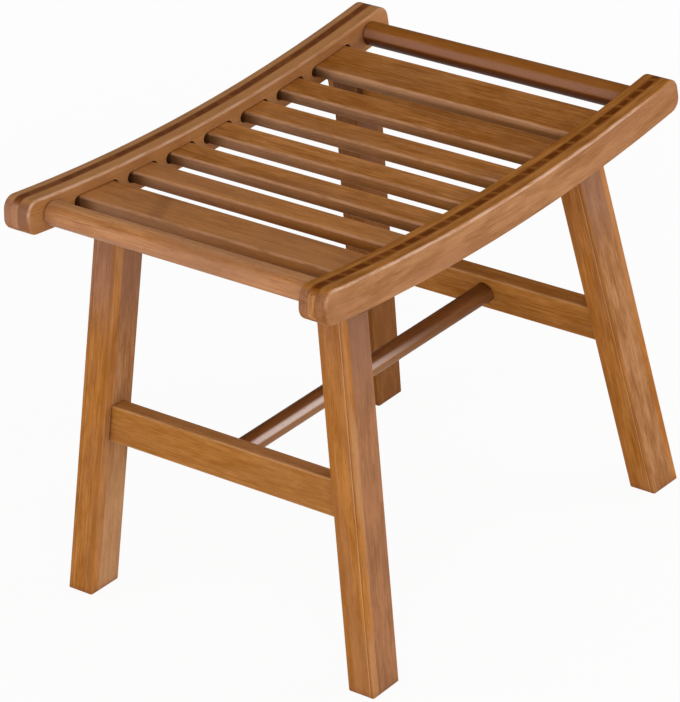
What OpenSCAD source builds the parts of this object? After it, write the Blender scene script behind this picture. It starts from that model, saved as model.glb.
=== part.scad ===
// Slatted shower stool with a dished seat, raked legs and an H-shaped stretcher frame.
// X runs along the seat slats, Y along the curved side rails, Z is up and the floor is at Z = 0.

/* [Side rails] */
// Overall width of the seat across both side rails
seat_w = 360; // [310:1:420]
// Length of a side rail between its rounded ends
rail_len = 500; // [470:1:600]
// Height of the highest point of the rail ends above the floor
seat_h = 400; // [340:1:460]
// Rise of the rail's curve from its middle to its end
rail_rise = 16.5; // [8:0.5:26]
// Thickness of a side rail across the seat
rail_thick = 30; // [24:1:40]
// Height of a side rail's section
rail_h = 32; // [30:1:42]
// Corner radius of a rail's end, seen from the side
nose_r = 12; // [6:0.5:14]
// Rounding of the rail's long edges
rail_ease = 2.5; // [1:0.25:4]

/* [Seat slats] */
// Width of a narrow slat
slat_w = 28; // [22:1:32]
// Width of the wide slats above the leg frames
wide_slat_w = 46; // [42:1:54]
// Clear gap between neighbouring slats
slat_gap = 23; // [16:1:26]
// Thickness of a slat
slat_thick = 11; // [9:0.5:13]
// How far the slats lie below the top of the side rails
slat_drop = 11; // [7:0.5:13]
// Rounding of a slat's upper long edges
slat_ease = 2.5; // [1:0.25:3.5]
// How far a slat's end reaches into its mortise
slat_tenon = 10; // [6:0.5:16]

/* [End bars] */
// Diameter of the round bars that close the seat at the front and back
bar_d = 23; // [18:0.5:25]
// Distance from a rail's end to the middle of the bar
bar_inset = 30; // [22:0.5:34]
// Diameter of the round tenon on each end of a bar
bar_tenon_d = 16; // [10:0.5:17]
// Length of the round tenon on each end of a bar
bar_tenon = 14; // [8:0.5:18]

/* [Legs] */
// Width of a leg's section, across the stool
leg_w = 28; // [24:1:34]
// Depth of a leg's section, along the stool
leg_d = 36; // [30:1:38]
// Sideways lean of the legs, in degrees
splay = 6.3; // [2:0.1:9]
// Lean of the leg frames towards the rail ends, in degrees
frame_lean = 7; // [3:0.1:10]
// Space between a side rail's inner face and a leg's outer face, at the slat's underside
leg_inset = 14; // [8:0.5:24]
// Rounding of a leg's long edges
leg_ease = 2; // [1:0.25:4]

/* [Cross rails and stretchers] */
// Height of the cross rail that joins a pair of legs and the side rails under the seat
cross_h = 30; // [26:1:36]
// Thickness of the cross rails
cross_thick = 18; // [14:1:22]
// Height of a flat stretcher's section
stretcher_h = 35; // [28:1:45]
// Thickness of the flat stretchers
stretcher_thick = 18; // [15:1:22]
// Height of the middle of the stretchers above the floor
stretcher_z = 168; // [110:1:230]
// How far a stretcher's face lies behind the leg's outer face
stretcher_setback = 8; // [4:0.5:12]
// Rounding of the long edges of cross rails and stretchers
board_ease = 2; // [1:0.25:3.5]
// Length of a stretcher's tenons, which enter the legs
leg_tenon = 14; // [8:0.5:18]
// Thickness of a stretcher's tenons
leg_tenon_thick = 9; // [7:0.5:12]
// Shoulder above and below a stretcher's tenons
leg_tenon_shoulder = 5; // [3:0.5:7]

/* [Dowel stretcher] */
// Diameter of the round stretcher that joins the two leg frames
dowel_d = 19; // [14:0.5:22]
// Depth of the round stretcher's seat in each flat stretcher
dowel_seat = 9; // [5:0.5:11]

/* [Seat screws] */
// Distance of each screw from the middle of its cross rail
screw_x = 62; // [30:1:80]
// Diameter of a screw's shank
screw_d = 4; // [3:0.25:5]
// Diameter of a screw's pan head
screw_head_d = 8; // [6.5:0.25:9]
// Height of a screw's pan head
screw_head_h = 2.6; // [1.5:0.1:4]
// Depth of the counterbore that hides a screw's head
screw_sink = 12; // [8:0.5:15]
// Length of thread that bites into the wide slat
screw_bite = 7.5; // [5:0.25:7.5]

/* [Fits] */
// Clearance on each side of a tenon or a dowel in its mortise or bore
fit = 0.15; // [0.05:0.05:0.3]
// Space left beyond the end of a tenon, a dowel or a screw
end_room = 0.5; // [0.2:0.1:1.5]

// Space left around a screw's head in its counterbore
head_room = 0.5; // [0.2:0.1:1]

/* [Hidden] */

// Colours of the pieces
slat_color = [0.60, 0.40, 0.24];
rail_color = [0.70, 0.50, 0.32];
leg_color = [0.67, 0.47, 0.27];
dark_color = [0.45, 0.27, 0.17];
steel_color = [0.75, 0.76, 0.78];

// Smoothness of round parts, and of the rails' very shallow curve
round_fn = 64;
curve_fn = 2880;
// Larger than the whole stool, for the blocks that trim pieces to a plane
trim = 1200;
// A cutter passes this far through the face that it opens
through = 1;

// The rails' top edge is an arc about a line across the stool, high above the seat
rail_half = rail_len / 2;
arc_r = (rail_half * rail_half + rail_rise * rail_rise) / (2 * rail_rise);
// Angle at which the arc ends and the rounded nose begins
nose_angle = asin((rail_half - nose_r) / (arc_r + rail_h - nose_r));
arc_z = seat_h - nose_r + (arc_r + nose_r) * cos(nose_angle);
inner_x = seat_w / 2 - rail_thick;

// Angle about the arc's middle of a point at distance y along the stool, at a depth below the rail's top
function angle_at(y, depth) = asin(y / (arc_r + depth));

// Slats are numbered from the front; the first and last are wide and the others narrow
slat_total = 7;
slat_pitch = slat_w + slat_gap;
wide_slat_y = ((slat_total - 2) * slat_pitch + slat_gap + wide_slat_w) / 2;
function is_wide(i) = i == 1 || i == slat_total;
function slat_y(i) = i == 1 ? -wide_slat_y
    : i == slat_total ? wide_slat_y
    : (i - (slat_total + 1) / 2) * slat_pitch;
function width_of(i) = is_wide(i) ? wide_slat_w : slat_w;

// A leg frame is flat and leans; its own origin is the middle of the wide slat's underside
slat_under = slat_drop + slat_thick;
wide_angle = angle_at(wide_slat_y, slat_drop);
frame_y = (arc_r + slat_under) * sin(wide_angle);
frame_z = arc_z - (arc_r + slat_under) * cos(wide_angle);
leg_top_x = inner_x - leg_inset - leg_w / 2 / cos(splay);
leg_len = frame_z / cos(frame_lean) / cos(splay) + leg_d;

// Height along the leaning frame, and distance from its middle plane, of the flat stretcher
stretcher_off = leg_d / 2 - stretcher_setback - stretcher_thick / 2;
stretcher_up = (stretcher_z - frame_z - stretcher_off * sin(frame_lean)) / cos(frame_lean);

// Half the distance between a pair of legs at a height along the frame
function half_span(up) = leg_top_x - leg_w / 2 / cos(splay) - up * tan(splay);

// Where the flat stretcher's inner face is at the height of the round stretcher
inner_off = stretcher_off - stretcher_thick / 2;
inner_up = (stretcher_z - frame_z - inner_off * sin(frame_lean)) / cos(frame_lean);
dowel_half = frame_y + inner_off * cos(frame_lean) - inner_up * sin(frame_lean) + dowel_seat;

// Places a child on the rail's top arc, with +Y along the rail and the wood below Z = 0
module on_arc(angle) {
    translate([0, 0, arc_z]) rotate([angle, 0, 0]) translate([0, 0, -arc_r]) children();
}

// Turns a solid of revolution so that its axis runs across the stool
module across(start) {
    rotate([0, 90, 0]) rotate([0, 0, start]) children();
}

// Places a child in the leaning plane of a leg frame: side is 1 at the back and -1 at the front
module in_frame(side) {
    mirror([0, side < 0 ? 1 : 0, 0])
        translate([0, frame_y, frame_z]) rotate([frame_lean, 0, 0]) children();
}

// Places a child on a leg's middle line: hand is 1 on the right and -1 on the left
module on_leg(side, hand) {
    in_frame(side) mirror([hand < 0 ? 1 : 0, 0, 0])
        translate([leg_top_x, 0, 0]) rotate([0, -splay, 0]) children();
}

// Rectangle with its lower left corner at the origin and all four corners rounded
module eased_rect(w, h, r) {
    translate([r, 0]) square([w - 2 * r, h]);
    translate([0, r]) square([w, h - 2 * r]);
    for (x = [r, w - r], y = [r, h - r]) translate([x, y]) circle(r = r, $fn = round_fn);
}

// Rectangle of width w and height h whose two upper corners are rounded
module eased_top(w, h, r) {
    translate([-w / 2, 0]) square([w, h - r]);
    translate([-w / 2 + r, 0]) square([w - 2 * r, h]);
    for (x = [r - w / 2, w / 2 - r]) translate([x, h - r]) circle(r = r, $fn = round_fn);
}

// Section of the rail's nose outward from its turning line: x is the radius, y runs across the rail
module nose_section() {
    square([nose_r - rail_ease, rail_thick]);
    translate([0, rail_ease]) square([nose_r, rail_thick - 2 * rail_ease]);
    for (y = [rail_ease, rail_thick - rail_ease])
        translate([nose_r - rail_ease, y]) circle(r = rail_ease, $fn = round_fn);
}

// Rounded nose beyond the arc, drawn in the arc's own place
module rail_nose() {
    translate([0, 0, nose_r - rail_h]) across(0) rotate_extrude(angle = 90, $fn = round_fn) nose_section();
    translate([0, 0, -nose_r]) across(90) rotate_extrude(angle = 90, $fn = round_fn) nose_section();
    translate([0, 0, nose_r - rail_h])
        linear_extrude(rail_h - 2 * nose_r) mirror([1, -1, 0]) nose_section();
}

// Curved rail without its mortises, from x = 0 to its thickness
module rail_blank() {
    translate([0, 0, arc_z]) across(-nose_angle)
        rotate_extrude(angle = 2 * nose_angle, $fn = curve_fn)
            translate([arc_r, 0]) eased_rect(rail_h, rail_thick, rail_ease);
    on_arc(nose_angle) rail_nose();
    mirror([0, 1, 0]) on_arc(nose_angle) rail_nose();
}

// Routed mortises of one slat in both rails as one long bar, with round ends in front of and behind the slat
module slat_mortises(i) {
    bar_len = 2 * (inner_x + slat_tenon + end_room);
    bar_h = slat_thick + 2 * fit;
    on_arc(angle_at(slat_y(i), slat_drop))
        translate([-bar_len / 2, 0, -slat_under - fit]) rotate([90, 0, 90]) linear_extrude(bar_len) {
            translate([-width_of(i) / 2, 0]) square([width_of(i), bar_h]);
            for (y = [-1, 1])
                translate([y * width_of(i) / 2, bar_h / 2]) circle(d = bar_h, $fn = round_fn);
        }
}

// Round tenons of one end bar as one long rod, enlarged the same way
module bar_tenons(side, play, room) {
    rod_len = 2 * (inner_x + bar_tenon + room);
    bar_line(side)
        cylinder(h = rod_len, d = bar_tenon_d + 2 * play, center = true, $fn = round_fn);
}

// Places a child on the middle line of an end bar, with +Z across the stool
module bar_line(side) {
    mirror([0, side < 0 ? 1 : 0, 0])
        on_arc(angle_at(rail_half - bar_inset, rail_h / 2))
            translate([0, 0, -rail_h / 2]) rotate([0, 90, 0]) children();
}

// Side rail on the right, or mirrored on the left
module side_rail(hand) {
    mirror([hand < 0 ? 1 : 0, 0, 0]) color(rail_color) difference() {
        translate([inner_x, 0, 0]) rail_blank();
        for (i = [1 : slat_total]) slat_mortises(i);
        for (side = [-1, 1]) bar_tenons(side, fit, end_room);
    }
}

module seat_slat(i) {
    reach = inner_x + slat_tenon;
    color(slat_color) difference() {
        on_arc(angle_at(slat_y(i), slat_drop)) translate([-reach, 0, -slat_under])
            rotate([90, 0, 90]) linear_extrude(2 * reach)
                eased_top(width_of(i), slat_thick, slat_ease);
        if (is_wide(i)) screw_shanks(i == 1 ? -1 : 1, fit, end_room);
    }
}

module end_bar(side) {
    color(dark_color) union() {
        bar_line(side) cylinder(h = 2 * inner_x, d = bar_d, center = true, $fn = round_fn);
        bar_tenons(side, 0, 0);
    }
}

// Everything below the underside of a wide slat
module below_wide_slat(side) {
    mirror([0, side < 0 ? 1 : 0, 0]) on_arc(wide_angle)
        translate([-trim / 2, -trim / 2, -slat_under - trim]) cube(trim);
}

// Everything on the outer side of a leg's inner face
module beyond_leg(side, hand) {
    on_leg(side, hand) translate([-leg_w / 2, -trim / 2, -trim / 2]) cube(trim);
}

// Board that spans a leg pair: up is its middle height along the frame, off its distance from the plane
module leg_board(side, up, off, tall, thick) {
    difference() {
        in_frame(side) translate([-seat_w / 2, off - thick / 2, up - tall / 2])
            rotate([90, 0, 90]) linear_extrude(seat_w) eased_rect(thick, tall, board_ease);
        for (hand = [-1, 1]) beyond_leg(side, hand);
    }
}

// Tenons of such a board at both ends as one long bar, enlarged by play on each side and by room at the ends
module board_tenons(side, up, off, tall, play, room) {
    bar_len = 2 * (half_span(up) + leg_tenon + room);
    bar_w = leg_tenon_thick + 2 * play;
    bar_h = tall - 2 * leg_tenon_shoulder + 2 * play;
    in_frame(side)
        translate([-bar_len / 2, off - bar_w / 2, up - bar_h / 2]) cube([bar_len, bar_w, bar_h]);
}

module stretcher_tenons(side, play, room) {
    board_tenons(side, stretcher_up, stretcher_off, stretcher_h, play, room);
}

// Cross rail's bar from side rail to side rail, enlarged by play, with its top carried up by spare
module cross_bar(side, play, spare) {
    in_frame(side) translate([-inner_x, -cross_thick / 2 - play, -cross_h - play])
        rotate([90, 0, 90]) linear_extrude(2 * inner_x)
            eased_rect(cross_thick + 2 * play, cross_h + play + spare, board_ease + play);
}

module leg(side, hand) {
    color(leg_color) difference() {
        intersection() {
            on_leg(side, hand) translate([-leg_w / 2, -leg_d / 2, -leg_len])
                linear_extrude(leg_len + leg_d) eased_rect(leg_w, leg_d, leg_ease);
            below_wide_slat(side);
            translate([-trim / 2, -trim / 2, 0]) cube(trim);
        }
        stretcher_tenons(side, fit, end_room);
        cross_bar(side, fit, leg_d);
    }
}

// Cross rail under a wide slat, let through the tops of its legs; its top is planed to the slat's underside
module cross_rail(side) {
    color(leg_color) difference() {
        intersection() {
            cross_bar(side, 0, board_ease + cross_thick * tan(frame_lean));
            below_wide_slat(side);
        }
        screw_shanks(side, fit, end_room);
        screw_sinks(side);
    }
}

module stretcher(side) {
    color(leg_color) difference() {
        union() {
            leg_board(side, stretcher_up, stretcher_off, stretcher_h, stretcher_thick);
            stretcher_tenons(side, 0, 0);
        }
        dowel(fit, end_room);
    }
}

// Round rod along the stool between the two flat stretchers
module dowel(play, room) {
    translate([0, 0, stretcher_z]) rotate([90, 0, 0])
        cylinder(h = 2 * (dowel_half + room), d = dowel_d + 2 * play, center = true, $fn = round_fn);
}

module dowel_stretcher() {
    color(dark_color) dowel(0, 0);
}

// Shanks of the two screws of a cross rail, enlarged by play on each side and by room at the tip
module screw_shanks(side, play, room) {
    for (x = [-screw_x, screw_x])
        in_frame(side) translate([x, 0, screw_sink - cross_h])
            cylinder(h = cross_h - screw_sink + screw_bite + room, d = screw_d + 2 * play, $fn = round_fn);
}

// Counterbores under a cross rail that hold the screw heads
module screw_sinks(side) {
    for (x = [-screw_x, screw_x])
        in_frame(side) translate([x, 0, -cross_h - through])
            cylinder(h = screw_sink + through, d = screw_head_d + 2 * head_room, $fn = round_fn);
}

module screw_heads(side) {
    for (x = [-screw_x, screw_x])
        in_frame(side) translate([x, 0, screw_sink - cross_h - screw_head_h])
            cylinder(h = screw_head_h, d = screw_head_d, $fn = round_fn);
}

module seat_screws() {
    color(steel_color) for (side = [-1, 1]) {
        screw_shanks(side, 0, 0);
        screw_heads(side);
    }
}

side_rail(-1);  // side_rail_left
side_rail(1);  // side_rail_right
seat_slat(1);  // seat_slat_1
seat_slat(2);  // seat_slat_2
seat_slat(3);  // seat_slat_3
seat_slat(4);  // seat_slat_4
seat_slat(5);  // seat_slat_5
seat_slat(6);  // seat_slat_6
seat_slat(7);  // seat_slat_7
end_bar(-1);  // end_bar_front
end_bar(1);  // end_bar_back
cross_rail(-1);  // cross_rail_front
cross_rail(1);  // cross_rail_back
leg(-1, -1);  // leg_front_left
leg(-1, 1);  // leg_front_right
leg(1, -1);  // leg_back_left
leg(1, 1);  // leg_back_right
stretcher(-1);  // stretcher_front
stretcher(1);  // stretcher_back
dowel_stretcher();
seat_screws();
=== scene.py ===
import math
import random

import bpy
from bpy.props import FloatProperty, FloatVectorProperty, IntProperty, PointerProperty
from bpy.types import Operator, Panel, PropertyGroup
from mathutils import Matrix, Vector


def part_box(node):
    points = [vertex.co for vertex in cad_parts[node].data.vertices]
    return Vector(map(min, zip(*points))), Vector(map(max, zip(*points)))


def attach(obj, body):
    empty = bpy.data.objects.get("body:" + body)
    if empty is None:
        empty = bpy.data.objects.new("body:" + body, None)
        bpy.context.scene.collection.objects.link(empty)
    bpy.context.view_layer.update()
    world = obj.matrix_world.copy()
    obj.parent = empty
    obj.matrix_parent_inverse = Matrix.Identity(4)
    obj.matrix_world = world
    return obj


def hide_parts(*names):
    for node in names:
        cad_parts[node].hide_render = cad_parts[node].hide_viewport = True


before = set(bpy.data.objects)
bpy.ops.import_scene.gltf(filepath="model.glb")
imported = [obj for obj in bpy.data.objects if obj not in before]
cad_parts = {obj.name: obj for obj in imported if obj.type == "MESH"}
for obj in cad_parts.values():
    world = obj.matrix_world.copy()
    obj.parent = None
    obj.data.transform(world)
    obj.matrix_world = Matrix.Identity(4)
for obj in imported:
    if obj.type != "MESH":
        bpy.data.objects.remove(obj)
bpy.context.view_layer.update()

bl_info = {
    "name": "Slatted Shower Stool",
    "version": (1, 0, 0),
    "blender": (4, 5, 0),
    "location": "3D View > Sidebar > Stool",
    "description": "Builds the wooden pieces of a slatted shower stool, finishes them and sets the stage",
    "category": "Add Mesh",
}

MM = 0.001
BODY = "root"
BACK, FRONT = 1, -1
RIGHT, LEFT = 1, -1
SIDE_NAMES = {BACK: "back", FRONT: "front"}
HAND_NAMES = {RIGHT: "right", LEFT: "left"}

# Names of the surface coordinates that every wooden piece carries for its finish
LAY = "lay"        # along the grain, across, and through the piece, in metres from its own middle
GRAIN = "grain"    # the same, moved by a different amount on each piece so that no two look alike
FACING = "facing"  # the surface's normal along the same three directions
MARKS = "marks"    # eased edge, butted end and floor contact, each from 0 to 1
BOARD = "board"    # how much deeper and rosier the board is than usual, and how its layers are shifted

# Steps of the rounded shapes
FULL_TURN = 2 * math.pi
ROUND_STEPS = 6          # of a rounded long edge
ARRIS_STEPS = 3          # of the fine rounding at a sawn end
NOSE_STEPS = 10          # of each quarter of a side rail's end
MORTISE_STEPS = 8        # of each quarter of a mortise's round end
HOLE_STEPS = 48          # of a round hole
BAR_STEPS = 72           # round an end bar
DOWEL_STEPS = 64         # round the round stretcher
SCREW_STEPS = 48         # round a screw
HEAD_RINGS = 14          # rings of a screw head's face
THREAD_TURNS = 11        # turns of a screw's thread

# Distances that no size of the stool sets
RAIL_STEP = 6 * MM       # longest step along a side rail
TIMBER_STEP = 60 * MM    # usual step along a straight timber
STEP_ROOM = 8 * MM       # least distance of a usual step from those with a purpose
END_STEP = 12 * MM       # a further step near a timber's end, which keeps the shading of its end short
EDGE_ROOM = 1.2 * MM     # flat strip beside the roundings of a timber
RAIL_EDGE_ROOM = 1.5 * MM  # the same on a side rail
SEAT_ROOM = 0.1 * MM     # a step so little outside the mortise keeps the darkening of the butted end, dirt and painted shade, inside it
BUTT_REACH = 5 * MM      # how far the darkening at a joint reaches along a piece: dirt and painted shade
GROUND_REACH = 12 * MM   # how far a foot is scuffed above the floor
SCREW_BITE = 7.5 * MM    # how far a screw goes into its slat
SAME_PLACE = 1e-6        # points closer than this are one


# ---------------------------------------------------------------- sizes and colours

def length(label, about, value):
    return FloatProperty(name=label, description=about, default=value, min=0.0, unit="LENGTH", precision=4)


def angle(label, about, degrees):
    return FloatProperty(name=label, description=about, default=math.radians(degrees), subtype="ANGLE")


def tint(label, about, value):
    return FloatVectorProperty(name=label, description=about, default=value, min=0.0, max=1.0, subtype="COLOR")


class StoolSizes(PropertyGroup):
    """Sizes of the stool's pieces, the same as in the CAD part"""

    seat_width: length("Seat width", "Overall width across both side rails", 0.360)
    rail_length: length("Rail length", "Length of a side rail from tip to tip", 0.500)
    seat_height: length("Seat height", "Height of the rail ends above the floor", 0.400)
    rail_rise: length("Rail rise", "Rise of the rail's curve from its middle to its end", 0.0165)
    rail_thick: length("Rail thickness", "Thickness of a side rail across the seat", 0.030)
    rail_height: length("Rail height", "Height of a side rail's section", 0.032)
    nose_radius: length("Nose radius", "Corner radius of a rail's end, seen from the side", 0.012)
    rail_ease: length("Rail easing", "Rounding of the rail's long edges", 0.0025)
    slat_width: length("Slat width", "Width of a narrow slat", 0.028)
    wide_slat_width: length("Wide slat width", "Width of the slats above the leg frames", 0.046)
    slat_gap: length("Slat gap", "Clear gap between neighbouring slats", 0.023)
    slat_thick: length("Slat thickness", "Thickness of a slat", 0.011)
    slat_drop: length("Slat drop", "How far the slats lie below the top of the rails", 0.011)
    slat_ease: length("Slat easing", "Rounding of a slat's upper long edges", 0.0025)
    slat_tenon: length("Slat tenon", "How far a slat's end reaches into its mortise", 0.010)
    end_room: length("End room", "Space left beyond a slat's end in its mortise", 0.0005)
    bar_diameter: length("End bar diameter", "Diameter of the bars that close the seat", 0.023)
    bar_inset: length("End bar inset", "Distance from a rail's end to the middle of the bar", 0.030)
    bar_shoulder: length("End bar shoulder", "Rounding of the bar where it meets a rail", 0.0028)
    leg_width: length("Leg width", "Width of a leg's section, across the stool", 0.028)
    leg_depth: length("Leg depth", "Depth of a leg's section, along the stool", 0.036)
    leg_inset: length("Leg inset", "Space between a rail's inner face and a leg at its top", 0.014)
    leg_ease: length("Leg easing", "Rounding of a leg's long edges", 0.002)
    splay: angle("Splay", "Sideways lean of the legs", 6.3)
    frame_lean: angle("Frame lean", "Lean of the leg frames towards the rail ends", 7.0)
    cross_height: length("Cross rail height", "Height of a cross rail's section", 0.030)
    cross_thick: length("Cross rail thickness", "Thickness of the cross rails", 0.018)
    stretcher_height: length("Stretcher height", "Height of a flat stretcher's section", 0.035)
    stretcher_thick: length("Stretcher thickness", "Thickness of the flat stretchers", 0.018)
    stretcher_level: length("Stretcher level", "Height of the stretchers' middle above the floor", 0.168)
    stretcher_setback: length("Stretcher setback", "How far a stretcher lies behind the leg's face", 0.008)
    board_ease: length("Board easing", "Rounding of the long edges of rails and stretchers", 0.002)
    dowel_diameter: length("Dowel diameter", "Diameter of the round stretcher", 0.019)
    dowel_seat: length("Dowel seat", "Depth of the round stretcher's seat at each end", 0.009)
    screw_spread: length("Screw spread", "Distance of each seat screw from the middle", 0.062)
    screw_head: length("Screw head", "Diameter of a seat screw's pan head", 0.008)
    screw_head_height: length("Screw head height", "Height of a seat screw's pan head", 0.0026)
    screw_shank: length("Screw shank", "Diameter of a seat screw's shank", 0.004)
    screw_sink: length("Screw sink", "Depth of the counterbore that hides a screw head", 0.012)
    head_room: length("Head room", "Space around a screw head in its counterbore", 0.0005)
    arris: length("End arris", "Fine rounding of sawn ends", 0.0006)
    fit: length("Fit", "Clearance around slats in their mortises and the round stretcher in its socket", 0.00015)


class StoolFinish(PropertyGroup):
    """Colours and surface of the stool's finishes"""

    rail_pale: tint("Rail pale", "Lighter tone of the rails' sides", (0.415, 0.200, 0.083))
    rail_deep: tint("Rail deep", "Darker tone of the rails' sides", (0.25, 0.098, 0.027))
    ply_pale: tint("Ply pale", "Lighter tone of the outer plies on the rails' top", (0.46, 0.178, 0.033))
    ply_deep: tint("Ply deep", "Darker tone of the outer plies on the rails' top", (0.27, 0.088, 0.007))
    core_block: tint("Core blocks", "Dark end grain blocks of the rails' core", (0.135, 0.030, 0.0010))
    core_between: tint("Core between", "Tone between the dark blocks", (0.265, 0.088, 0.010))
    core_long: tint("Core at the nose", "Tone of the core where its grain runs along the surface",
                    (0.48, 0.240, 0.105))
    ply_end: tint("Ply ends", "Tone of the outer plies' cut ends at the nose", (0.37, 0.165, 0.080))
    end_grain: tint("End grain", "Tone of cut fibre ends", (0.17, 0.060, 0.022))
    seam: tint("Seam", "Tone of dark joint lines", (0.070, 0.022, 0.006))
    slat_pale: tint("Slat pale", "Lighter tone of the slats", (0.54, 0.225, 0.062))
    slat_deep: tint("Slat deep", "Darker tone of the slats", (0.28, 0.090, 0.009))
    slat_side: tint("Slat side", "Tone of the slats' narrow sides", (0.25, 0.090, 0.015))
    # Painted sheen: the slats' narrow sides are paler towards the left
    slat_side_left: tint("Slat side, left", "Tone of the slats' narrow sides towards the left",
                         (0.31, 0.152, 0.074))
    # Painted highlight on the slats' eased edges and high on their narrow sides
    slat_edge: tint("Slat edge", "Tone of the slats' rubbed edges", (0.60, 0.32, 0.17))
    bar_pale: tint("Bar pale", "Lighter tone of the end bars", (0.56, 0.250, 0.092))
    bar_deep: tint("Bar deep", "Darker tone of the end bars", (0.27, 0.085, 0.012))
    leg_pale: tint("Leg pale", "Lighter tone of the legs' front and back", (0.48, 0.195, 0.044))
    leg_deep: tint("Leg deep", "Darker tone of the legs' front and back", (0.28, 0.092, 0.008))
    frame_pale: tint("Frame pale", "Lighter tone of stretchers and cross rails", (0.44, 0.186, 0.041))
    frame_deep: tint("Frame deep", "Darker tone of stretchers and cross rails", (0.26, 0.085, 0.006))
    dowel_pale: tint("Dowel pale", "Lighter tone of the round stretcher", (0.20, 0.066, 0.013))
    dowel_deep: tint("Dowel deep", "Darker tone of the round stretcher", (0.088, 0.025, 0.004))
    blush: tint("Blush", "Rosy tone that clouds the wood in places", (0.32, 0.140, 0.062))
    # A pale tone for rubbed edges, also laid on as painted light: a highlight along the front bar's top, a sheen
    # on the boards' faces and light from the floor near the left legs' feet
    pale_wear_and_highlight: tint("Worn edge", "Tone of rubbed edges", (0.62, 0.36, 0.18))
    # Painted highlight along the rails' top edges
    rail_edge: tint("Rail edge", "Tone of the rails' rubbed edges", (0.72, 0.475, 0.35))
    nose_rosy: tint("Rosy nose", "Tone that evens out the plies at a rosy rail's nose", (0.36, 0.180, 0.115))
    # Painted shade under the back bar
    bar_under: tint("Bar underside", "Tone of the dark underside of an end bar", (0.095, 0.027, 0.004))
    # Painted shade on the slats' narrow sides, low down and beside the rails
    slat_nook: tint("Slat nook", "Tone of the slats' narrow sides beside the rails", (0.085, 0.034, 0.008))
    # Painted shade at the top of the legs, under the seat
    leg_mauve: tint("Leg mauve", "Rosy tone at the top of some legs", (0.22, 0.105, 0.068))
    # Painted highlight on the round stretcher, also a faint painted reflection on the front bar
    dowel_sheen: tint("Dowel sheen", "Pale tone where feet polish the round stretcher", (0.64, 0.51, 0.46))
    # Painted light on the round stretcher's lower right side
    dowel_low_light: tint("Dowel, lower side", "Tone of the polished rod's lower side", (0.33, 0.165, 0.075))
    # Painted sheen along the back bar's inner side
    bar_sheen: tint("Bar sheen", "Rosy tone of the gloss along the back bar", (0.34, 0.155, 0.085))
    steel: tint("Steel", "Tone of the seat screws", (0.62, 0.63, 0.65))
    ply_inner: length("Inner ply", "Thickness of the rails' ply on the seat side", 0.0108)
    ply_outer: length("Outer ply", "Thickness of the rails' outer ply", 0.0112)
    seed: IntProperty(name="Seed", description="Start of the random offsets between pieces", default=7, min=0)


# ---------------------------------------------------------------- places of the pieces

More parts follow.
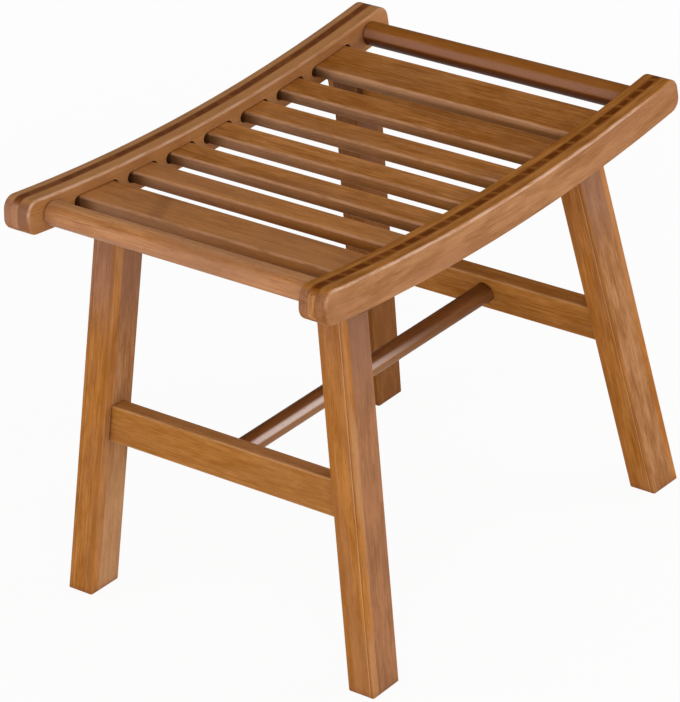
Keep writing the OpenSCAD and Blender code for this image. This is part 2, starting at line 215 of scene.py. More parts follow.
class Layout:
    """Where each piece lies, worked out from the sizes in the same way as in the CAD part"""

    def __init__(self, size):
        self.size = size
        half = size.rail_length / 2
        self.arc_radius = (half * half + size.rail_rise ** 2) / (2 * size.rail_rise)
        straight = half - size.nose_radius
        self.nose_angle = math.asin(straight / (self.arc_radius + size.rail_height - size.nose_radius))
        self.arc_centre = (size.seat_height - size.nose_radius
                           + (self.arc_radius + size.nose_radius) * math.cos(self.nose_angle))
        self.inner_x = size.seat_width / 2 - size.rail_thick
        self.slat_under = size.slat_drop + size.slat_thick
        pitch = size.slat_width + size.slat_gap
        wide_y = (5 * pitch + size.slat_gap + size.wide_slat_width) / 2
        self.slats = [(-wide_y, size.wide_slat_width)]
        self.slats += [(step * pitch, size.slat_width) for step in (-2, -1, 0, 1, 2)]
        self.slats += [(wide_y, size.wide_slat_width)]
        self.wide_angle = self.angle_at(wide_y, size.slat_drop)
        reach = self.arc_radius + self.slat_under
        self.frame_y = reach * math.sin(self.wide_angle)
        self.frame_z = self.arc_centre - reach * math.cos(self.wide_angle)
        self.half_leg = size.leg_width / 2 / math.cos(size.splay)
        self.leg_top_x = self.inner_x - size.leg_inset - self.half_leg
        self.stretcher_off = size.leg_depth / 2 - size.stretcher_setback - size.stretcher_thick / 2
        self.stretcher_up = self.up_at(self.stretcher_off)

    def up_at(self, off):
        """Height along the leaning frame of the stretchers' level, at a distance from the frame's plane"""
        lean = self.size.frame_lean
        return (self.size.stretcher_level - self.frame_z - off * math.sin(lean)) / math.cos(lean)

    def angle_at(self, y, depth):
        """Turn round the arc's centre of a point this deep below the rail's top"""
        return math.asin(y / (self.arc_radius + depth))

    def mortises(self):
        """Along a side rail: where each slat's mortise begins, its straight part, and where both end"""
        size = self.size
        scale = self.arc_radius / (self.arc_radius + size.slat_drop + size.slat_thick / 2)
        for y, width in self.slats:
            middle = self.angle_at(y, size.slat_drop) * self.arc_radius
            straight = width / 2 * scale
            whole = straight + (size.slat_thick / 2 + size.fit) * scale
            yield middle - whole, middle - straight, middle + straight, middle + whole

    def on_arc(self, turn):
        """Place on the rail's top arc, with +Y along the rail and the wood below Z = 0"""
        return (Matrix.Translation((0, 0, self.arc_centre)) @ Matrix.Rotation(turn, 4, "X")
                @ Matrix.Translation((0, 0, -self.arc_radius)))

    def in_frame(self, side):
        """Place in a leg frame: its top middle, with +Y out of the frame and +Z up along it"""
        lean = (Matrix.Translation((0, self.frame_y, self.frame_z))
                @ Matrix.Rotation(self.size.frame_lean, 4, "X"))
        return Matrix.Diagonal((1, side, 1, 1)) @ lean

    def on_leg(self, side, hand):
        """Place on a leg's middle line, with +Z up along the leg"""
        return (self.in_frame(side) @ Matrix.Diagonal((hand, 1, 1, 1))
                @ Matrix.Translation((self.leg_top_x, 0, 0)) @ Matrix.Rotation(-self.size.splay, 4, "Y"))

    def bar_place(self, side):
        """Place of an end bar's middle, half the rail's height below its top"""
        turn = self.angle_at(self.size.rail_length / 2 - self.size.bar_inset, self.size.rail_height / 2)
        return (Matrix.Diagonal((1, side, 1, 1)) @ self.on_arc(turn)
                @ Matrix.Translation((0, 0, -self.size.rail_height / 2)))

    def slat_plane(self, side):
        """Point and upward normal of the underside of a wide slat"""
        place = Matrix.Diagonal((1, side, 1, 1)) @ self.on_arc(self.wide_angle)
        point = place @ Vector((0, 0, -self.slat_under))
        return point, (place.to_3x3() @ Vector((0, 0, 1))).normalized()

    def leg_plane(self, side, hand):
        """Point and outward normal of a leg's inner face"""
        place = self.on_leg(side, hand)
        point = place @ Vector((-self.size.leg_width / 2, 0, 0))
        return point, (place.to_3x3() @ Vector((1, 0, 0))).normalized()


# ---------------------------------------------------------------- shapes

class Corner:
    """One corner of a face: its place, the way it faces and its finish marks, in the piece's own directions"""

    __slots__ = ("lay", "facing", "edge", "butt")

    def __init__(self, lay, facing, edge=0.0, butt=0.0):
        self.lay = Vector(lay)
        self.facing = Vector(facing)
        self.edge = edge
        self.butt = butt


class Shape:
    """Gathers the faces of one piece. place turns the piece's own coordinates into the stool's"""

    def __init__(self, place):
        self.place = place
        self.points = []
        self.known = {}
        self.faces = []
        self.corners = []

    def vertex(self, at):
        """Number of the point at a place, which faces share"""
        key = tuple(round(c / SAME_PLACE) for c in at)
        if key not in self.known:
            self.known[key] = len(self.points)
            self.points.append(at)
        return self.known[key]

    def face(self, corners):
        """Adds a face and turns it so that it looks the same way as its corners do"""
        placed = [self.place(c.lay, c.facing) for c in corners]
        ids = [self.vertex(at) for at, _ in placed]
        keep = [i for i in range(len(ids)) if ids[i] != ids[i - 1]]
        if len(keep) < 3:
            return
        ring = [placed[i][0] for i in keep]
        turn = Vector((0, 0, 0))
        for a, b in zip(ring, ring[1:] + ring[:1]):
            turn += a.cross(b)
        mean = sum((placed[i][1] for i in keep), Vector((0, 0, 0)))
        if turn.dot(mean) < 0:
            keep.reverse()
        self.faces.append([ids[i] for i in keep])
        for i in keep:
            at, normal = placed[i]
            self.corners.append((normal, corners[i], at))

    def sheet(self, rows):
        """Quads between rows of corners"""
        for upper, lower in zip(rows, rows[1:]):
            for i in range(len(upper) - 1):
                self.face([upper[i], upper[i + 1], lower[i + 1], lower[i]])

    def cap(self, row):
        """Closes a ring of corners with strips from its upper half to its lower half"""
        for i in range(len(row) // 2 - 1):
            self.face([row[i], row[i + 1], row[-2 - i], row[-1 - i]])

    def build(self, name, offset, tone):
        """Makes the mesh, with its normals and all that its finish reads at each corner"""
        mesh = bpy.data.meshes.new(name)
        mesh.from_pydata([tuple(p) for p in self.points], [], self.faces)
        wear = [(c.edge, c.butt, max(0.0, 1.0 - at.z / GROUND_REACH)) for _, c, at in self.corners]
        for label, values in ((LAY, [c.lay for _, c, _ in self.corners]),
                              (GRAIN, [c.lay + offset for _, c, _ in self.corners]),
                              (FACING, [c.facing.normalized() for _, c, _ in self.corners]),
                              (MARKS, wear),
                              (BOARD, [tone] * len(self.corners))):
            layer = mesh.attributes.new(label, "FLOAT_VECTOR", "CORNER")
            layer.data.foreach_set("vector", [x for value in values for x in value])
        mesh.polygons.foreach_set("use_smooth", [True] * len(mesh.polygons))
        mesh.normals_split_custom_set([tuple(normal) for normal, _, _ in self.corners])
        mesh.update()
        piece = bpy.data.objects.new(name, mesh)
        bpy.context.scene.collection.objects.link(piece)
        return piece


def straight(matrix):
    """Place of a straight piece whose own directions are the three axes of a matrix"""
    turn = matrix.to_3x3()

    def place(lay, facing):
        return matrix @ lay, (turn @ facing).normalized()
    return place


def axes(along, across, through):
    """Matrix that takes along, across and through to the named axes of a frame"""
    columns = [Vector([1 if name == axis else 0 for name in "XYZ"]) for axis in (along, across, through)]
    return Matrix([[columns[c][r] for c in range(3)] for r in range(3)]).to_4x4()


def quarter(steps):
    """Even turns from 0 to a quarter"""
    return [math.pi / 2 * i / steps for i in range(steps + 1)]


def edge_of(turn):
    """How strongly a point on a rounding takes the edge tone, wear on most pieces and a painted highlight on the
    rails and slats: most in its middle
    """
    return math.sin(2 * turn) ** 0.7 if 0 < turn < math.pi / 2 else 0.0


class Rim:
    """Point of a section: across, through, its normal and how far it is rubbed"""

    __slots__ = ("p", "q", "np", "nq", "edge")

    def __init__(self, p, q, np_, nq, edge=0.0):
        self.p, self.q, self.np, self.nq, self.edge = p, q, np_, nq, edge


def section(width, height, top_ease, foot_ease, flats=()):
    """Columns of paired points, upper and lower, of a rectangle with rounded corners.
    p runs from 0 to width and q from 0, the lower side, to height. flats are further positions along p."""

    def pair(turn, mirrored):
        s, c = math.sin(turn), math.cos(turn)
        rims = (Rim(top_ease - top_ease * c, height - top_ease + top_ease * s, -c, s, edge_of(turn)),
                Rim(foot_ease - foot_ease * c, foot_ease - foot_ease * s, -c, -s, edge_of(turn)))
        if mirrored:
            for rim in rims:
                rim.p, rim.np = width - rim.p, c
        return rims

    margin = max(top_ease, foot_ease) + EDGE_ROOM
    columns = [pair(turn, False) for turn in quarter(ROUND_STEPS)]
    columns += [(Rim(p, height, 0, 1), Rim(p, 0, 0, -1)) for p in [margin, *sorted(flats), width - margin]]
    return columns + [pair(turn, True) for turn in reversed(quarter(ROUND_STEPS))]


def loop_of(columns):
    """Section points in order round the section: upper side, then lower side back"""
    return [upper for upper, _ in columns] + [lower for _, lower in reversed(columns)]


class End:
    """A sawn end: the plane at a level along a direction, in the piece's own coordinates"""

    def __init__(self, direction, level):
        self.direction, self.level = Vector(direction), level

    def cut(self, p, q):
        """Where the plane cuts along the piece"""
        return (self.level - self.direction.y * p - self.direction.z * q) / self.direction.x


def square_ends(reach):
    """Both ends of a piece that reaches this far to each side, cut square"""
    return End((-1, 0, 0), reach), End((1, 0, 0), reach)


def sawn_end(matrix, point, normal):
    """The end that a plane of the stool gives to the piece that a matrix puts in place"""
    direction = (matrix.to_3x3().inverted() @ normal).normalized()
    return End(direction, direction.dot(matrix.inverted() @ point))


class Hole:
    """A round hole in a timber's underside, or else in the side where p is least. along and middle place it on
    that side, axis points out of its mouth, and sink is the small countersink there"""

    def __init__(self, columns, underside, along, middle, radius, depth, axis, sink=0.4 * MM):
        self.underside, self.along = underside, along
        self.radius, self.depth, self.axis, self.sink = radius, depth, Vector(axis).normalized(), sink
        strips = 2 * len(columns)
        if underside:
            flat = [k for k, (_, lower) in enumerate(columns) if lower.np == 0]
            first, last = columns[flat[0]][1], columns[flat[-1]][1]
            self.low, self.high, self.level = first.p, last.p, first.q
            self.strips = range(strips - 1 - flat[-1], strips - 1 - flat[0])
            self.facing = Vector((0, 0, -1))
        else:
            upper, lower = columns[0]
            self.low, self.high, self.level = lower.q, upper.q, upper.p
            self.strips = range(strips - 1, strips)
            self.facing = Vector((0, -1, 0))
        self.middle = (self.low + self.high) / 2 if middle is None else middle
        self.reach = (self.high - self.low) / 2

    def opens(self, strip, along):
        """Whether the mouth takes the place of a strip of the timber's skin"""
        return strip in self.strips and abs(along - self.along) < self.reach


def timber(shape, columns, ends, arris, butts=(1, 1), holes=(), shift=(0.0, 0.0), slope=0.0, seat=0.0):
    """A sawn timber with eased edges. columns is its section, moved by shift, and ends are its two ends, with
    their share of dirt in butts. slope tips the upper side. seat is how far its ends are let in."""
    start, stop = ends
    height = max(upper.q for upper, _ in columns)

    def tipped(p, q):
        return p + shift[0], q + shift[1] + slope * (p + shift[0]) * q / height

    def on_side(rim, along, butt):
        return Corner((along, *tipped(rim.p, rim.q)), (0, rim.np, rim.nq), rim.edge, butt)

    def on_arris(rim, end, turn, butt):
        inset = arris * (1 - math.cos(turn))
        p, q = tipped(rim.p - rim.np * inset, rim.q - rim.nq * inset)
        along = end.cut(p, q) - math.copysign(arris * (1 - math.sin(turn)), end.direction.x)
        facing = Vector((0, rim.np, rim.nq)) * math.cos(turn) + end.direction * math.sin(turn)
        return Corner((along, p, q), facing.normalized(), max(rim.edge, 0.6 * edge_of(turn)), butt)

    loop = loop_of(columns)
    low = max(start.cut(*tipped(rim.p, rim.q)) for rim in loop) + arris
    high = min(stop.cut(*tipped(rim.p, rim.q)) for rim in loop) - arris
    near = [seat + BUTT_REACH, seat + END_STEP, *([seat + SEAT_ROOM] if seat else [])]
    stations = {low + d for d in near} | {high - d for d in near}
    for hole in holes:
        stations |= {hole.along - hole.reach, hole.along + hole.reach}
    count = max(1, round((high - low) / TIMBER_STEP))
    for i in range(1, count):
        at = low + (high - low) * i / count
        if all(abs(at - s) > STEP_ROOM for s in stations):
            stations.add(at)

    def butt_at(along):
        first = butts[0] * max(0.0, 1 - (along - low - seat) / BUTT_REACH)
        last = butts[1] * max(0.0, 1 - (high - along - seat) / BUTT_REACH)
        return min(1.0, max(first, last))

    rows = [[on_arris(rim, start, turn, butts[0]) for rim in loop] for turn in reversed(quarter(ARRIS_STEPS))]
    rows += [[on_side(rim, at, butt_at(at)) for rim in loop] for at in sorted(stations)]
    rows += [[on_arris(rim, stop, turn, butts[1]) for rim in loop] for turn in quarter(ARRIS_STEPS)]
    for row, after in zip(rows, rows[1:]):
        along = (row[0].lay.x + after[0].lay.x) / 2
        for i in range(len(loop)):
            j = (i + 1) % len(loop)
            if not any(hole.opens(i, along) for hole in holes):
                shape.face([row[i], row[j], after[j], after[i]])
    for row, end in ((rows[0], start), (rows[-1], stop)):
        shape.cap([Corner(c.lay, end.direction, c.edge, c.butt) for c in row])
    for hole in holes:
        bore(shape, hole, tipped)


def bore(shape, hole, tipped):
    """The flat round a hole's mouth, its countersink, its wall and its bottom"""

    def at(along, b):
        return Vector((along, *(tipped(b, hole.level) if hole.underside else tipped(hole.level, b))))

    centre, axis, facing = at(hole.along, hole.middle), hole.axis, hole.facing
    side = axis.cross(Vector((1, 0, 0))).normalized()

    def ring(radius, depth, on_face=False):
        """Points round the hole, each with its direction from the axis"""
        points = []
        for k in range(HOLE_STEPS):
            turn = FULL_TURN * k / HOLE_STEPS
            out = Vector((1, 0, 0)) * math.cos(turn) + side * math.sin(turn)
            point = centre + out * radius
            if on_face:
                point = point + axis * ((centre - point).dot(facing) / axis.dot(facing))
            points.append((point - axis * depth, out))
        return points

    def heading(point):
        return math.atan2((point - centre).dot(side), point.x - centre.x) % FULL_TURN

    def wall(upper, lower, looking, edge, butt):
        for k in range(HOLE_STEPS):
            j = (k + 1) % HOLE_STEPS
            shape.face([Corner(point, looking(out), edge, 0) for point, out in (upper[k], upper[j])]
                       + [Corner(point, looking(out), 0, butt) for point, out in (lower[j], lower[k])])

    mouth = ring(hole.radius + hole.sink, 0.0, on_face=True)
    first, last = hole.along - hole.reach, hole.along + hole.reach
    frame_corners = sorted([at(first, hole.low), at(last, hole.low), at(last, hole.high), at(first, hole.high)],
                           key=heading)
    for corner, after in zip(frame_corners, frame_corners[1:] + frame_corners[:1]):
        begin, finish = (round(heading(c) / FULL_TURN * HOLE_STEPS) for c in (corner, after))
        if finish <= begin:
            finish += HOLE_STEPS
        arc = [mouth[i % HOLE_STEPS][0] for i in range(begin, finish + 1)]
        shape.face([Corner(point, facing) for point in [corner, after] + arc[::-1]])

    throat = ring(hole.radius, hole.sink)
    floor = ring(hole.radius, hole.depth)
    # The countersink's rim takes the edge tone; the walls and the bottom are darkened as painted shade inside the
    # hole
    wall(mouth, throat, lambda out: (axis - out).normalized(), 0.8, 0.6)
    wall(throat, floor, lambda out: -out, 0, 1)
    shape.face([Corner(point, axis, 0, 1) for point, _ in floor])


def turned(shape, profile, segments):
    """A turned piece. profile holds, along the axis: position, radius, the normal's two parts, edge and butt.
    Two entries at one place with different normals make a sharp line."""
    for a, b in zip(profile, profile[1:]):
        if abs(a[0] - b[0]) < SAME_PLACE and abs(a[1] - b[1]) < SAME_PLACE:
            continue
        for k in range(segments):
            quad = []
            for (at, radius, along, out, edge, butt), step in ((a, k), (a, k + 1), (b, k + 1), (b, k)):
                turn = FULL_TURN * (step % segments) / segments
                c, s = math.cos(turn), math.sin(turn)
                quad.append(Corner((at, radius * c, radius * s), (along, out * c, out * s), edge, butt))
            shape.face(quad)


def rounded_rod(reach, radius, shoulder, steps):
    """Profile of a rod from -reach to reach whose ends are rounded"""
    right = [(reach, 0.0, 1.0, 0.0, 0.0, 1.0), (reach, radius - shoulder, 1.0, 0.0, 0.0, 1.0)]
    for turn in reversed(quarter(steps)):
        s, c = math.sin(turn), math.cos(turn)
        right.append((reach - shoulder * (1 - s), radius - shoulder * (1 - c), s, c, 0.5 * edge_of(turn), s))
    right.append((reach - shoulder - BUTT_REACH, radius, 0.0, 1.0, 0.0, 0.0))
    left = [(-at, r, -along, out, edge, butt) for at, r, along, out, edge, butt in right]
    return left + right[::-1]


# ---------------------------------------------------------------- finishes

class Nodes:
    """Adds nodes to a tree and joins them"""

    def __init__(self, tree):
        self.tree = tree
        self.count = 0

    def add(self, kind, sockets=None, **settings):
        made = self.tree.nodes.new(kind)
        made.location = (220 * (self.count // 5), -230 * (self.count % 5))
        self.count += 1
        for key, value in settings.items():
            setattr(made, key, value)
        for key, value in (sockets or {}).items():
            self.put(made.inputs[key], value)
        return made

    def put(self, socket, value):
        if isinstance(value, bpy.types.NodeSocket):
            self.tree.links.new(value, socket)
        elif value is not None:
            socket.default_value = value

    def math(self, operation, *values, clamp=False):
        made = self.add("ShaderNodeMath", dict(enumerate(values)), operation=operation, use_clamp=clamp)
        return made.outputs[0]

    def plus(self, a, b):
        return self.math("ADD", a, b)

    def less(self, a, b, clamp=False):
        return self.math("SUBTRACT", a, b, clamp=clamp)

    def rest(self, share):
        """What a share leaves of 1"""
        return self.less(1.0, share)

    def larger(self, a, b):
        return self.math("MAXIMUM", a, b)

    def times(self, product, *factors):
        for factor in factors:
            product = self.math("MULTIPLY", product, factor)
        return product

    def scaled(self, vector, scale):
        return self.add("ShaderNodeVectorMath", {0: vector, 1: scale}, operation="MULTIPLY").outputs[0]

    def moved(self, vector, by):
        return self.add("ShaderNodeVectorMath", {0: vector, 1: by}, operation="ADD").outputs[0]

    def parts(self, vector):
        return tuple(self.add("ShaderNodeSeparateXYZ", {0: vector}).outputs)

    def joined(self, x, y, z):
        return self.add("ShaderNodeCombineXYZ", {0: x, 1: y, 2: z}).outputs[0]

    def span(self, value, low, high, to_low=0.0, to_high=1.0, soft=True):
        """Goes from to_low to to_high while the value goes from low to high, and no further"""
        made = self.add("ShaderNodeMapRange", {"Value": value, "From Min": low, "From Max": high,
                                               "To Min": to_low, "To Max": to_high},
                        interpolation_type="SMOOTHSTEP" if soft else "LINEAR")
        return made.outputs["Result"]

    def fall(self, value, low, high):
        """1 up to low, and 0 from high on"""
        return self.span(value, low, high, 1.0, 0.0)

    def mix(self, share, a, b, blend="MIX"):
        """a where the share is 0 and b where it is 1. The numbers are those of the node's colour sockets"""
        made = self.add("ShaderNodeMix", data_type="RGBA", blend_type=blend, clamp_factor=True)
        for key, value in (("Factor", share), (6, a), (7, b)):
            self.put(made.inputs[key], value)
        return made.outputs[2]

    def noise(self, vector, detail=2.0, rough=0.55):
        made = self.add("ShaderNodeTexNoise", {"Vector": vector, "Scale": 1.0, "Detail": detail,
                                               "Roughness": rough}, noise_dimensions="3D")
        return made.outputs["Fac"]

    def cells(self, value, uneven):
        """A tone for each cell of a row, and the distance to the nearest joint between two cells"""
        found = {}
        for feature, output in (("F1", "Color"), ("DISTANCE_TO_EDGE", "Distance")):
            made = self.add("ShaderNodeTexVoronoi", {"W": value, "Scale": 1.0, "Randomness": uneven},
                            voronoi_dimensions="1D", feature=feature)
            found[output] = made.outputs[output]
        return self.add("ShaderNodeSeparateColor", {0: found["Color"]}).outputs, found["Distance"]

    def group(self, tree, **sockets):
        made = self.add("ShaderNodeGroup")
        made.node_tree = tree
        for key, value in sockets.items():
            self.put(made.inputs[key.replace("_", " ")], value)
        return made.outputs


def colour(value):
    return (*value, 1.0)


def group_tree(name, inputs, outputs):
    """A new node group with named sockets: the tree, its nodes, what it is given and what it puts out"""
    tree = bpy.data.node_groups.new(name, "ShaderNodeTree")
    for label, value in inputs.items():
        kind = "NodeSocketVector" if value is None else "NodeSocketFloat"
        socket = tree.interface.new_socket(label, in_out="INPUT", socket_type=kind)
        if value is not None:
            socket.default_value = value
    for label in outputs:
        tree.interface.new_socket(label, in_out="OUTPUT", socket_type="NodeSocketFloat")
    nodes = Nodes(tree)
    return tree, nodes, nodes.add("NodeGroupInput").outputs, nodes.add("NodeGroupOutput").inputs


def fibre_group(name):
    """Long wood fibres: fine lines, a short mottle, streaks, slow clouds of tone, small flecks and a rosy blush"""
    tree, nodes, given, result = group_tree(
        name, {"Grain": None, "Line Width": 0.0007, "Line Length": 0.030},
        ("Fine", "Mottle", "Streak", "Cloud", "Fleck", "Blush"))
    # How much wider and longer than the fine lines, where the pattern begins, and how its noise is spread
    for label, wider, longer, start, detail, rough, low, high in (
            ("Fine", 1.0, 1.0, None, 2.0, 0.6, 0.30, 0.70),
            ("Mottle", 2.6, 0.40, (3.0, 7.0, 2.0), 2.0, 0.5, 0.28, 0.72),
            ("Streak", 3.0, 1.5, None, 3.0, 0.65, 0.32, 0.68),
            ("Cloud", 16.0, 1.4, None, 2.0, 0.5, 0.32, 0.68),
            ("Fleck", 1.3, 0.20, None, 1.0, 0.5, 0.60, 0.72),
            ("Blush", 30.0, 4.0, (17.0, 5.0, 11.0), 2.0, 0.5, 0.42, 0.64)):
        across = nodes.math("DIVIDE", 1.0 / wider, given["Line Width"])
        along = nodes.math("DIVIDE", 1.0 / longer, given["Line Length"])
        place = nodes.scaled(given["Grain"], nodes.joined(along, across, across))
        if start:
            place = nodes.moved(place, start)
        nodes.put(result[label], nodes.span(nodes.noise(place, detail, rough), low, high))
    return tree


def strips_group(name):
    """Strips glued side by side: a tone for each strip and the fine line between two of them"""
    tree, nodes, given, result = group_tree(
        name, {"Across": 0.0, "Strip Width": 0.015, "Start": 0.0, "Line Width": 0.0004}, ("Tone", "Line"))
    place = nodes.plus(nodes.math("DIVIDE", given["Across"], given["Strip Width"]), given["Start"])
    tone, off = nodes.cells(place, 0.45)
    nodes.put(result["Tone"], tone[0])
    nodes.put(result["Line"], nodes.fall(nodes.times(off, given["Strip Width"]), 0.0, given["Line Width"]))
    return tree


def blocks_group(name):
    """End grain blocks of a cross laid core: short dark blocks in a row, with lighter joints between"""
    tree, nodes, given, result = group_tree(name, {"Along": 0.0, "Block Length": 0.012}, ("Dark", "Joint"))
    tone, off = nodes.cells(nodes.math("DIVIDE", given["Along"], given["Block Length"]), 0.6)
    nodes.put(result["Dark"], nodes.span(tone[1], 0.0, 0.50, 0.60, 1.0))
    nodes.put(result["Joint"], nodes.fall(nodes.times(off, given["Block Length"]), 0.0008, 0.0034))
    return tree


def wear_group(name):
    """Marks on the surface: broken eased edges, which take a rubbed tone on most pieces and a painted highlight on
    the rails and slats; dark butted ends, for dirt and painted shade; and scuffed feet
    """
    tree, nodes, given, result = group_tree(name, {"Marks": None, "Grain": None}, ("Rubbed And Lit", "Joint", "Scuff"))
    edge, butt, ground = nodes.parts(given["Marks"])
    broken = nodes.noise(nodes.scaled(given["Grain"], (38.0, 240.0, 240.0)), detail=3.0, rough=0.65)
    kept = nodes.span(nodes.span(broken, 0.30, 0.62), 0.0, 1.0, 0.35, 1.0)
    nodes.put(result["Rubbed And Lit"], nodes.times(edge, kept))
    ragged = nodes.times(nodes.less(broken, 0.5), 0.5)
    nodes.put(result["Joint"], nodes.span(nodes.plus(butt, ragged), 0.70, 1.05))
    nodes.put(result["Scuff"], nodes.span(nodes.plus(ground, ragged), 0.45, 0.95))
    return tree


def end_grain_group(name):
    """Cut fibre ends: small dark dots in rows"""
    tree, nodes, given, result = group_tree(name, {"Grain": None}, ("Dots", "Tone"))
    spread = nodes.scaled(given["Grain"], (60.0, 900.0, 900.0))
    dots = nodes.add("ShaderNodeTexVoronoi", {"Vector": spread, "Scale": 1.0}, voronoi_dimensions="3D",
                     feature="F1")
    nodes.put(result["Dots"], nodes.fall(dots.outputs["Distance"], 0.15, 0.5))
    slow = nodes.noise(nodes.scaled(given["Grain"], (40.0, 160.0, 160.0)), detail=3.0, rough=0.6)
    nodes.put(result["Tone"], nodes.span(slow, 0.35, 0.65))
    return tree


EFFECTS = {
    "Stool Fibre": fibre_group,
    "Stool Strips": strips_group,
    "Stool Core Blocks": blocks_group,
    "Stool Wear": wear_group,
    "Stool End Grain": end_grain_group,
}


def effect(name):
    """The named node group, made at its first use"""
    return bpy.data.node_groups.get(name) or EFFECTS[name](name)


def new_material(name):
    made = bpy.data.materials.new(name)
    made.use_nodes = True
    made.node_tree.nodes.clear()
    return made, Nodes(made.node_tree)


class Wood:
    """A wood material in the making: what the piece carries for its finish, and the effects that use it"""

    def __init__(self, name, context):
        self.material, self.nodes = new_material(name)
        self.look, self.size = context.scene.stool_finish, context.scene.stool_sizes
        nodes = self.nodes
        self.grain, self.lay, facing, marks, board = (self.read(key) for key in (GRAIN, LAY, FACING, MARKS, BOARD))
        self.face_along, self.face_across, self.face_through = (
            nodes.math("ABSOLUTE", part) for part in nodes.parts(facing))
        self.deeper, self.rosier, self.shift = nodes.parts(board)
        self.fibre = nodes.group(effect("Stool Fibre"), Grain=self.grain)
        self.wear = nodes.group(effect("Stool Wear"), Marks=marks, Grain=self.grain)
        self.ends = nodes.group(effect("Stool End Grain"), Grain=self.grain)
        blush = nodes.plus(self.fibre["Blush"], nodes.times(self.rosier, 0.6))
        self.blush = nodes.math("MINIMUM", nodes.larger(blush, 0.0), 1.0)

    def read(self, key):
        made = self.nodes.add("ShaderNodeAttribute", attribute_name=key, attribute_type="GEOMETRY")
        return made.outputs["Vector"]

    def sideways(self):
        """1 on the faces that look across the piece"""
        return self.nodes.span(self.face_across, 0.45, 0.80)

    def level(self):
        """1 on the faces that look through the piece, such as a rail's top"""
        return self.nodes.span(self.face_through, 0.45, 0.85)

    def share(self, fibre, *more, fine=0.45, mottle=0.40, streak=0.35, cloud=0.30):
        """Where the tone lies between dark and light, from 0 to 1"""
        nodes = self.nodes
        total = 0.5
        for value, weight in ((fibre["Fine"], fine), (fibre["Mottle"], mottle), (fibre["Streak"], streak),
                              (fibre["Cloud"], cloud), *more):
            total = nodes.plus(total, nodes.times(nodes.less(value, 0.5), weight))
        return nodes.less(total, nodes.times(self.deeper, 0.4), clamp=True)

    def between(self, share, deep, pale):
        return self.nodes.mix(share, colour(deep), colour(pale))

    def over(self, wood, tone, *shares):
        """Lays a tone over the wood as far as the product of the shares says"""
        return self.nodes.mix(self.nodes.times(*shares), wood, colour(tone))

    def line(self, value, at, half, soft=1.6):
        """1 on a line where value equals at, falling to 0 beyond half its width"""
        off = self.nodes.math("ABSOLUTE", self.nodes.less(value, at))
        return self.nodes.fall(off, half / soft, half * soft)

    def sawn(self, wood):
        """Turns to end grain where the surface looks along the fibres"""
        ends = self.between(self.ends["Tone"], self.look.end_grain, self.look.ply_end)
        ends = self.over(ends, self.look.core_block, self.ends["Dots"], 0.5)
        return self.nodes.mix(self.nodes.span(self.face_along, 0.55, 0.9), wood, ends)

    def relief(self, lines):
        """Height of the fibres, with the flecks and the lines sunk in"""
        nodes = self.nodes
        return nodes.less(nodes.less(self.fibre["Fine"], nodes.times(self.fibre["Fleck"], 0.6)), lines)

    def finish(self, wood, height, worn, rubbed, gloss, coat, joint=0.7, rough=(0.42, 0.54), bump=0.22,
               coat_rough=0.20):
        """Edge tone (wear on most pieces, a painted highlight on the rails and slats), dark joints (dirt, with
        painted shade in mortises and holes), scuffed feet, roughness that follows the fibres, a fine relief and
        the shader itself
        """
        nodes, look = self.nodes, self.look
        # The edge tone is a painted highlight on the rails and slats; the joint tone is dirt and painted shade
        wood = self.over(wood, rubbed, self.wear["Rubbed And Lit"], worn)
        wood = self.over(wood, look.seam, self.wear["Joint"], joint)
        wood = self.over(wood, look.end_grain, self.wear["Scuff"], 0.35)
        dull = nodes.span(self.fibre["Fine"], 0.0, 1.0, rough[1], rough[0], soft=False)
        relief = nodes.add("ShaderNodeBump", {"Height": height, "Strength": bump, "Distance": 0.0004})
        shader = nodes.add("ShaderNodeBsdfPrincipled", {
            "Base Color": wood, "Roughness": dull, "Normal": relief.outputs[0],
            "Specular IOR Level": gloss, "Coat Weight": coat, "Coat Roughness": coat_rough})
        nodes.add("ShaderNodeOutputMaterial", {"Surface": shader.outputs[0]})
        return self.material


# Places in the finishes below are metres along the piece's own directions. Bands are given the wood, its colour
# so far and its share of the pale tone, and give back the colour

def slat_sides(wood, base, share):
    """Narrow sides with painted light: paler towards the left as a painted sheen, a painted highlight high up on
    some slats, and painted shade downwards and into the side rails; and the bamboo node that crosses one of them"""
    nodes, look = wood.nodes, wood.look
    along, across, up = nodes.parts(wood.lay)
    # Painted sheen: paler towards the left
    side = nodes.mix(nodes.span(along, -0.15, 0.10), colour(look.slat_side_left), colour(look.slat_side))
    shade = nodes.span(share, 0.0, 1.0, 0.75, 1.22, soft=False)
    side = nodes.mix(1.0, side, nodes.joined(shade, shade, shade), blend="MULTIPLY")
    # Painted highlight high up on the narrow side, strongest on the back slat
    side = wood.over(side, look.slat_edge, nodes.span(up, 0.004, 0.008),
                     nodes.span(wood.shift, 0.0, 1.0, 0.10, 0.45))
    # Painted shade: darker low on the side, more so towards the right
    side = wood.over(side, look.slat_nook, nodes.fall(up, 0.0005, 0.0060),
                     nodes.span(along, -0.05, 0.12, 0.25, 0.50))
    # Painted shade at both ends, where the sides meet the rails
    nook = nodes.larger(nodes.fall(along, -0.148, -0.126), nodes.span(along, 0.122, 0.155, 0.0, 0.7))
    side = wood.over(side, look.slat_nook, nook, 0.8)
    knuckle = wood.line(nodes.plus(along, nodes.times(across, 0.5)), -0.075, 0.006, soft=2.0)
    base = wood.over(base, look.end_grain, knuckle, nodes.span(wood.shift, -1.0, 0.0, 0.30, 0.0))
    return nodes.mix(wood.sideways(), base, side)


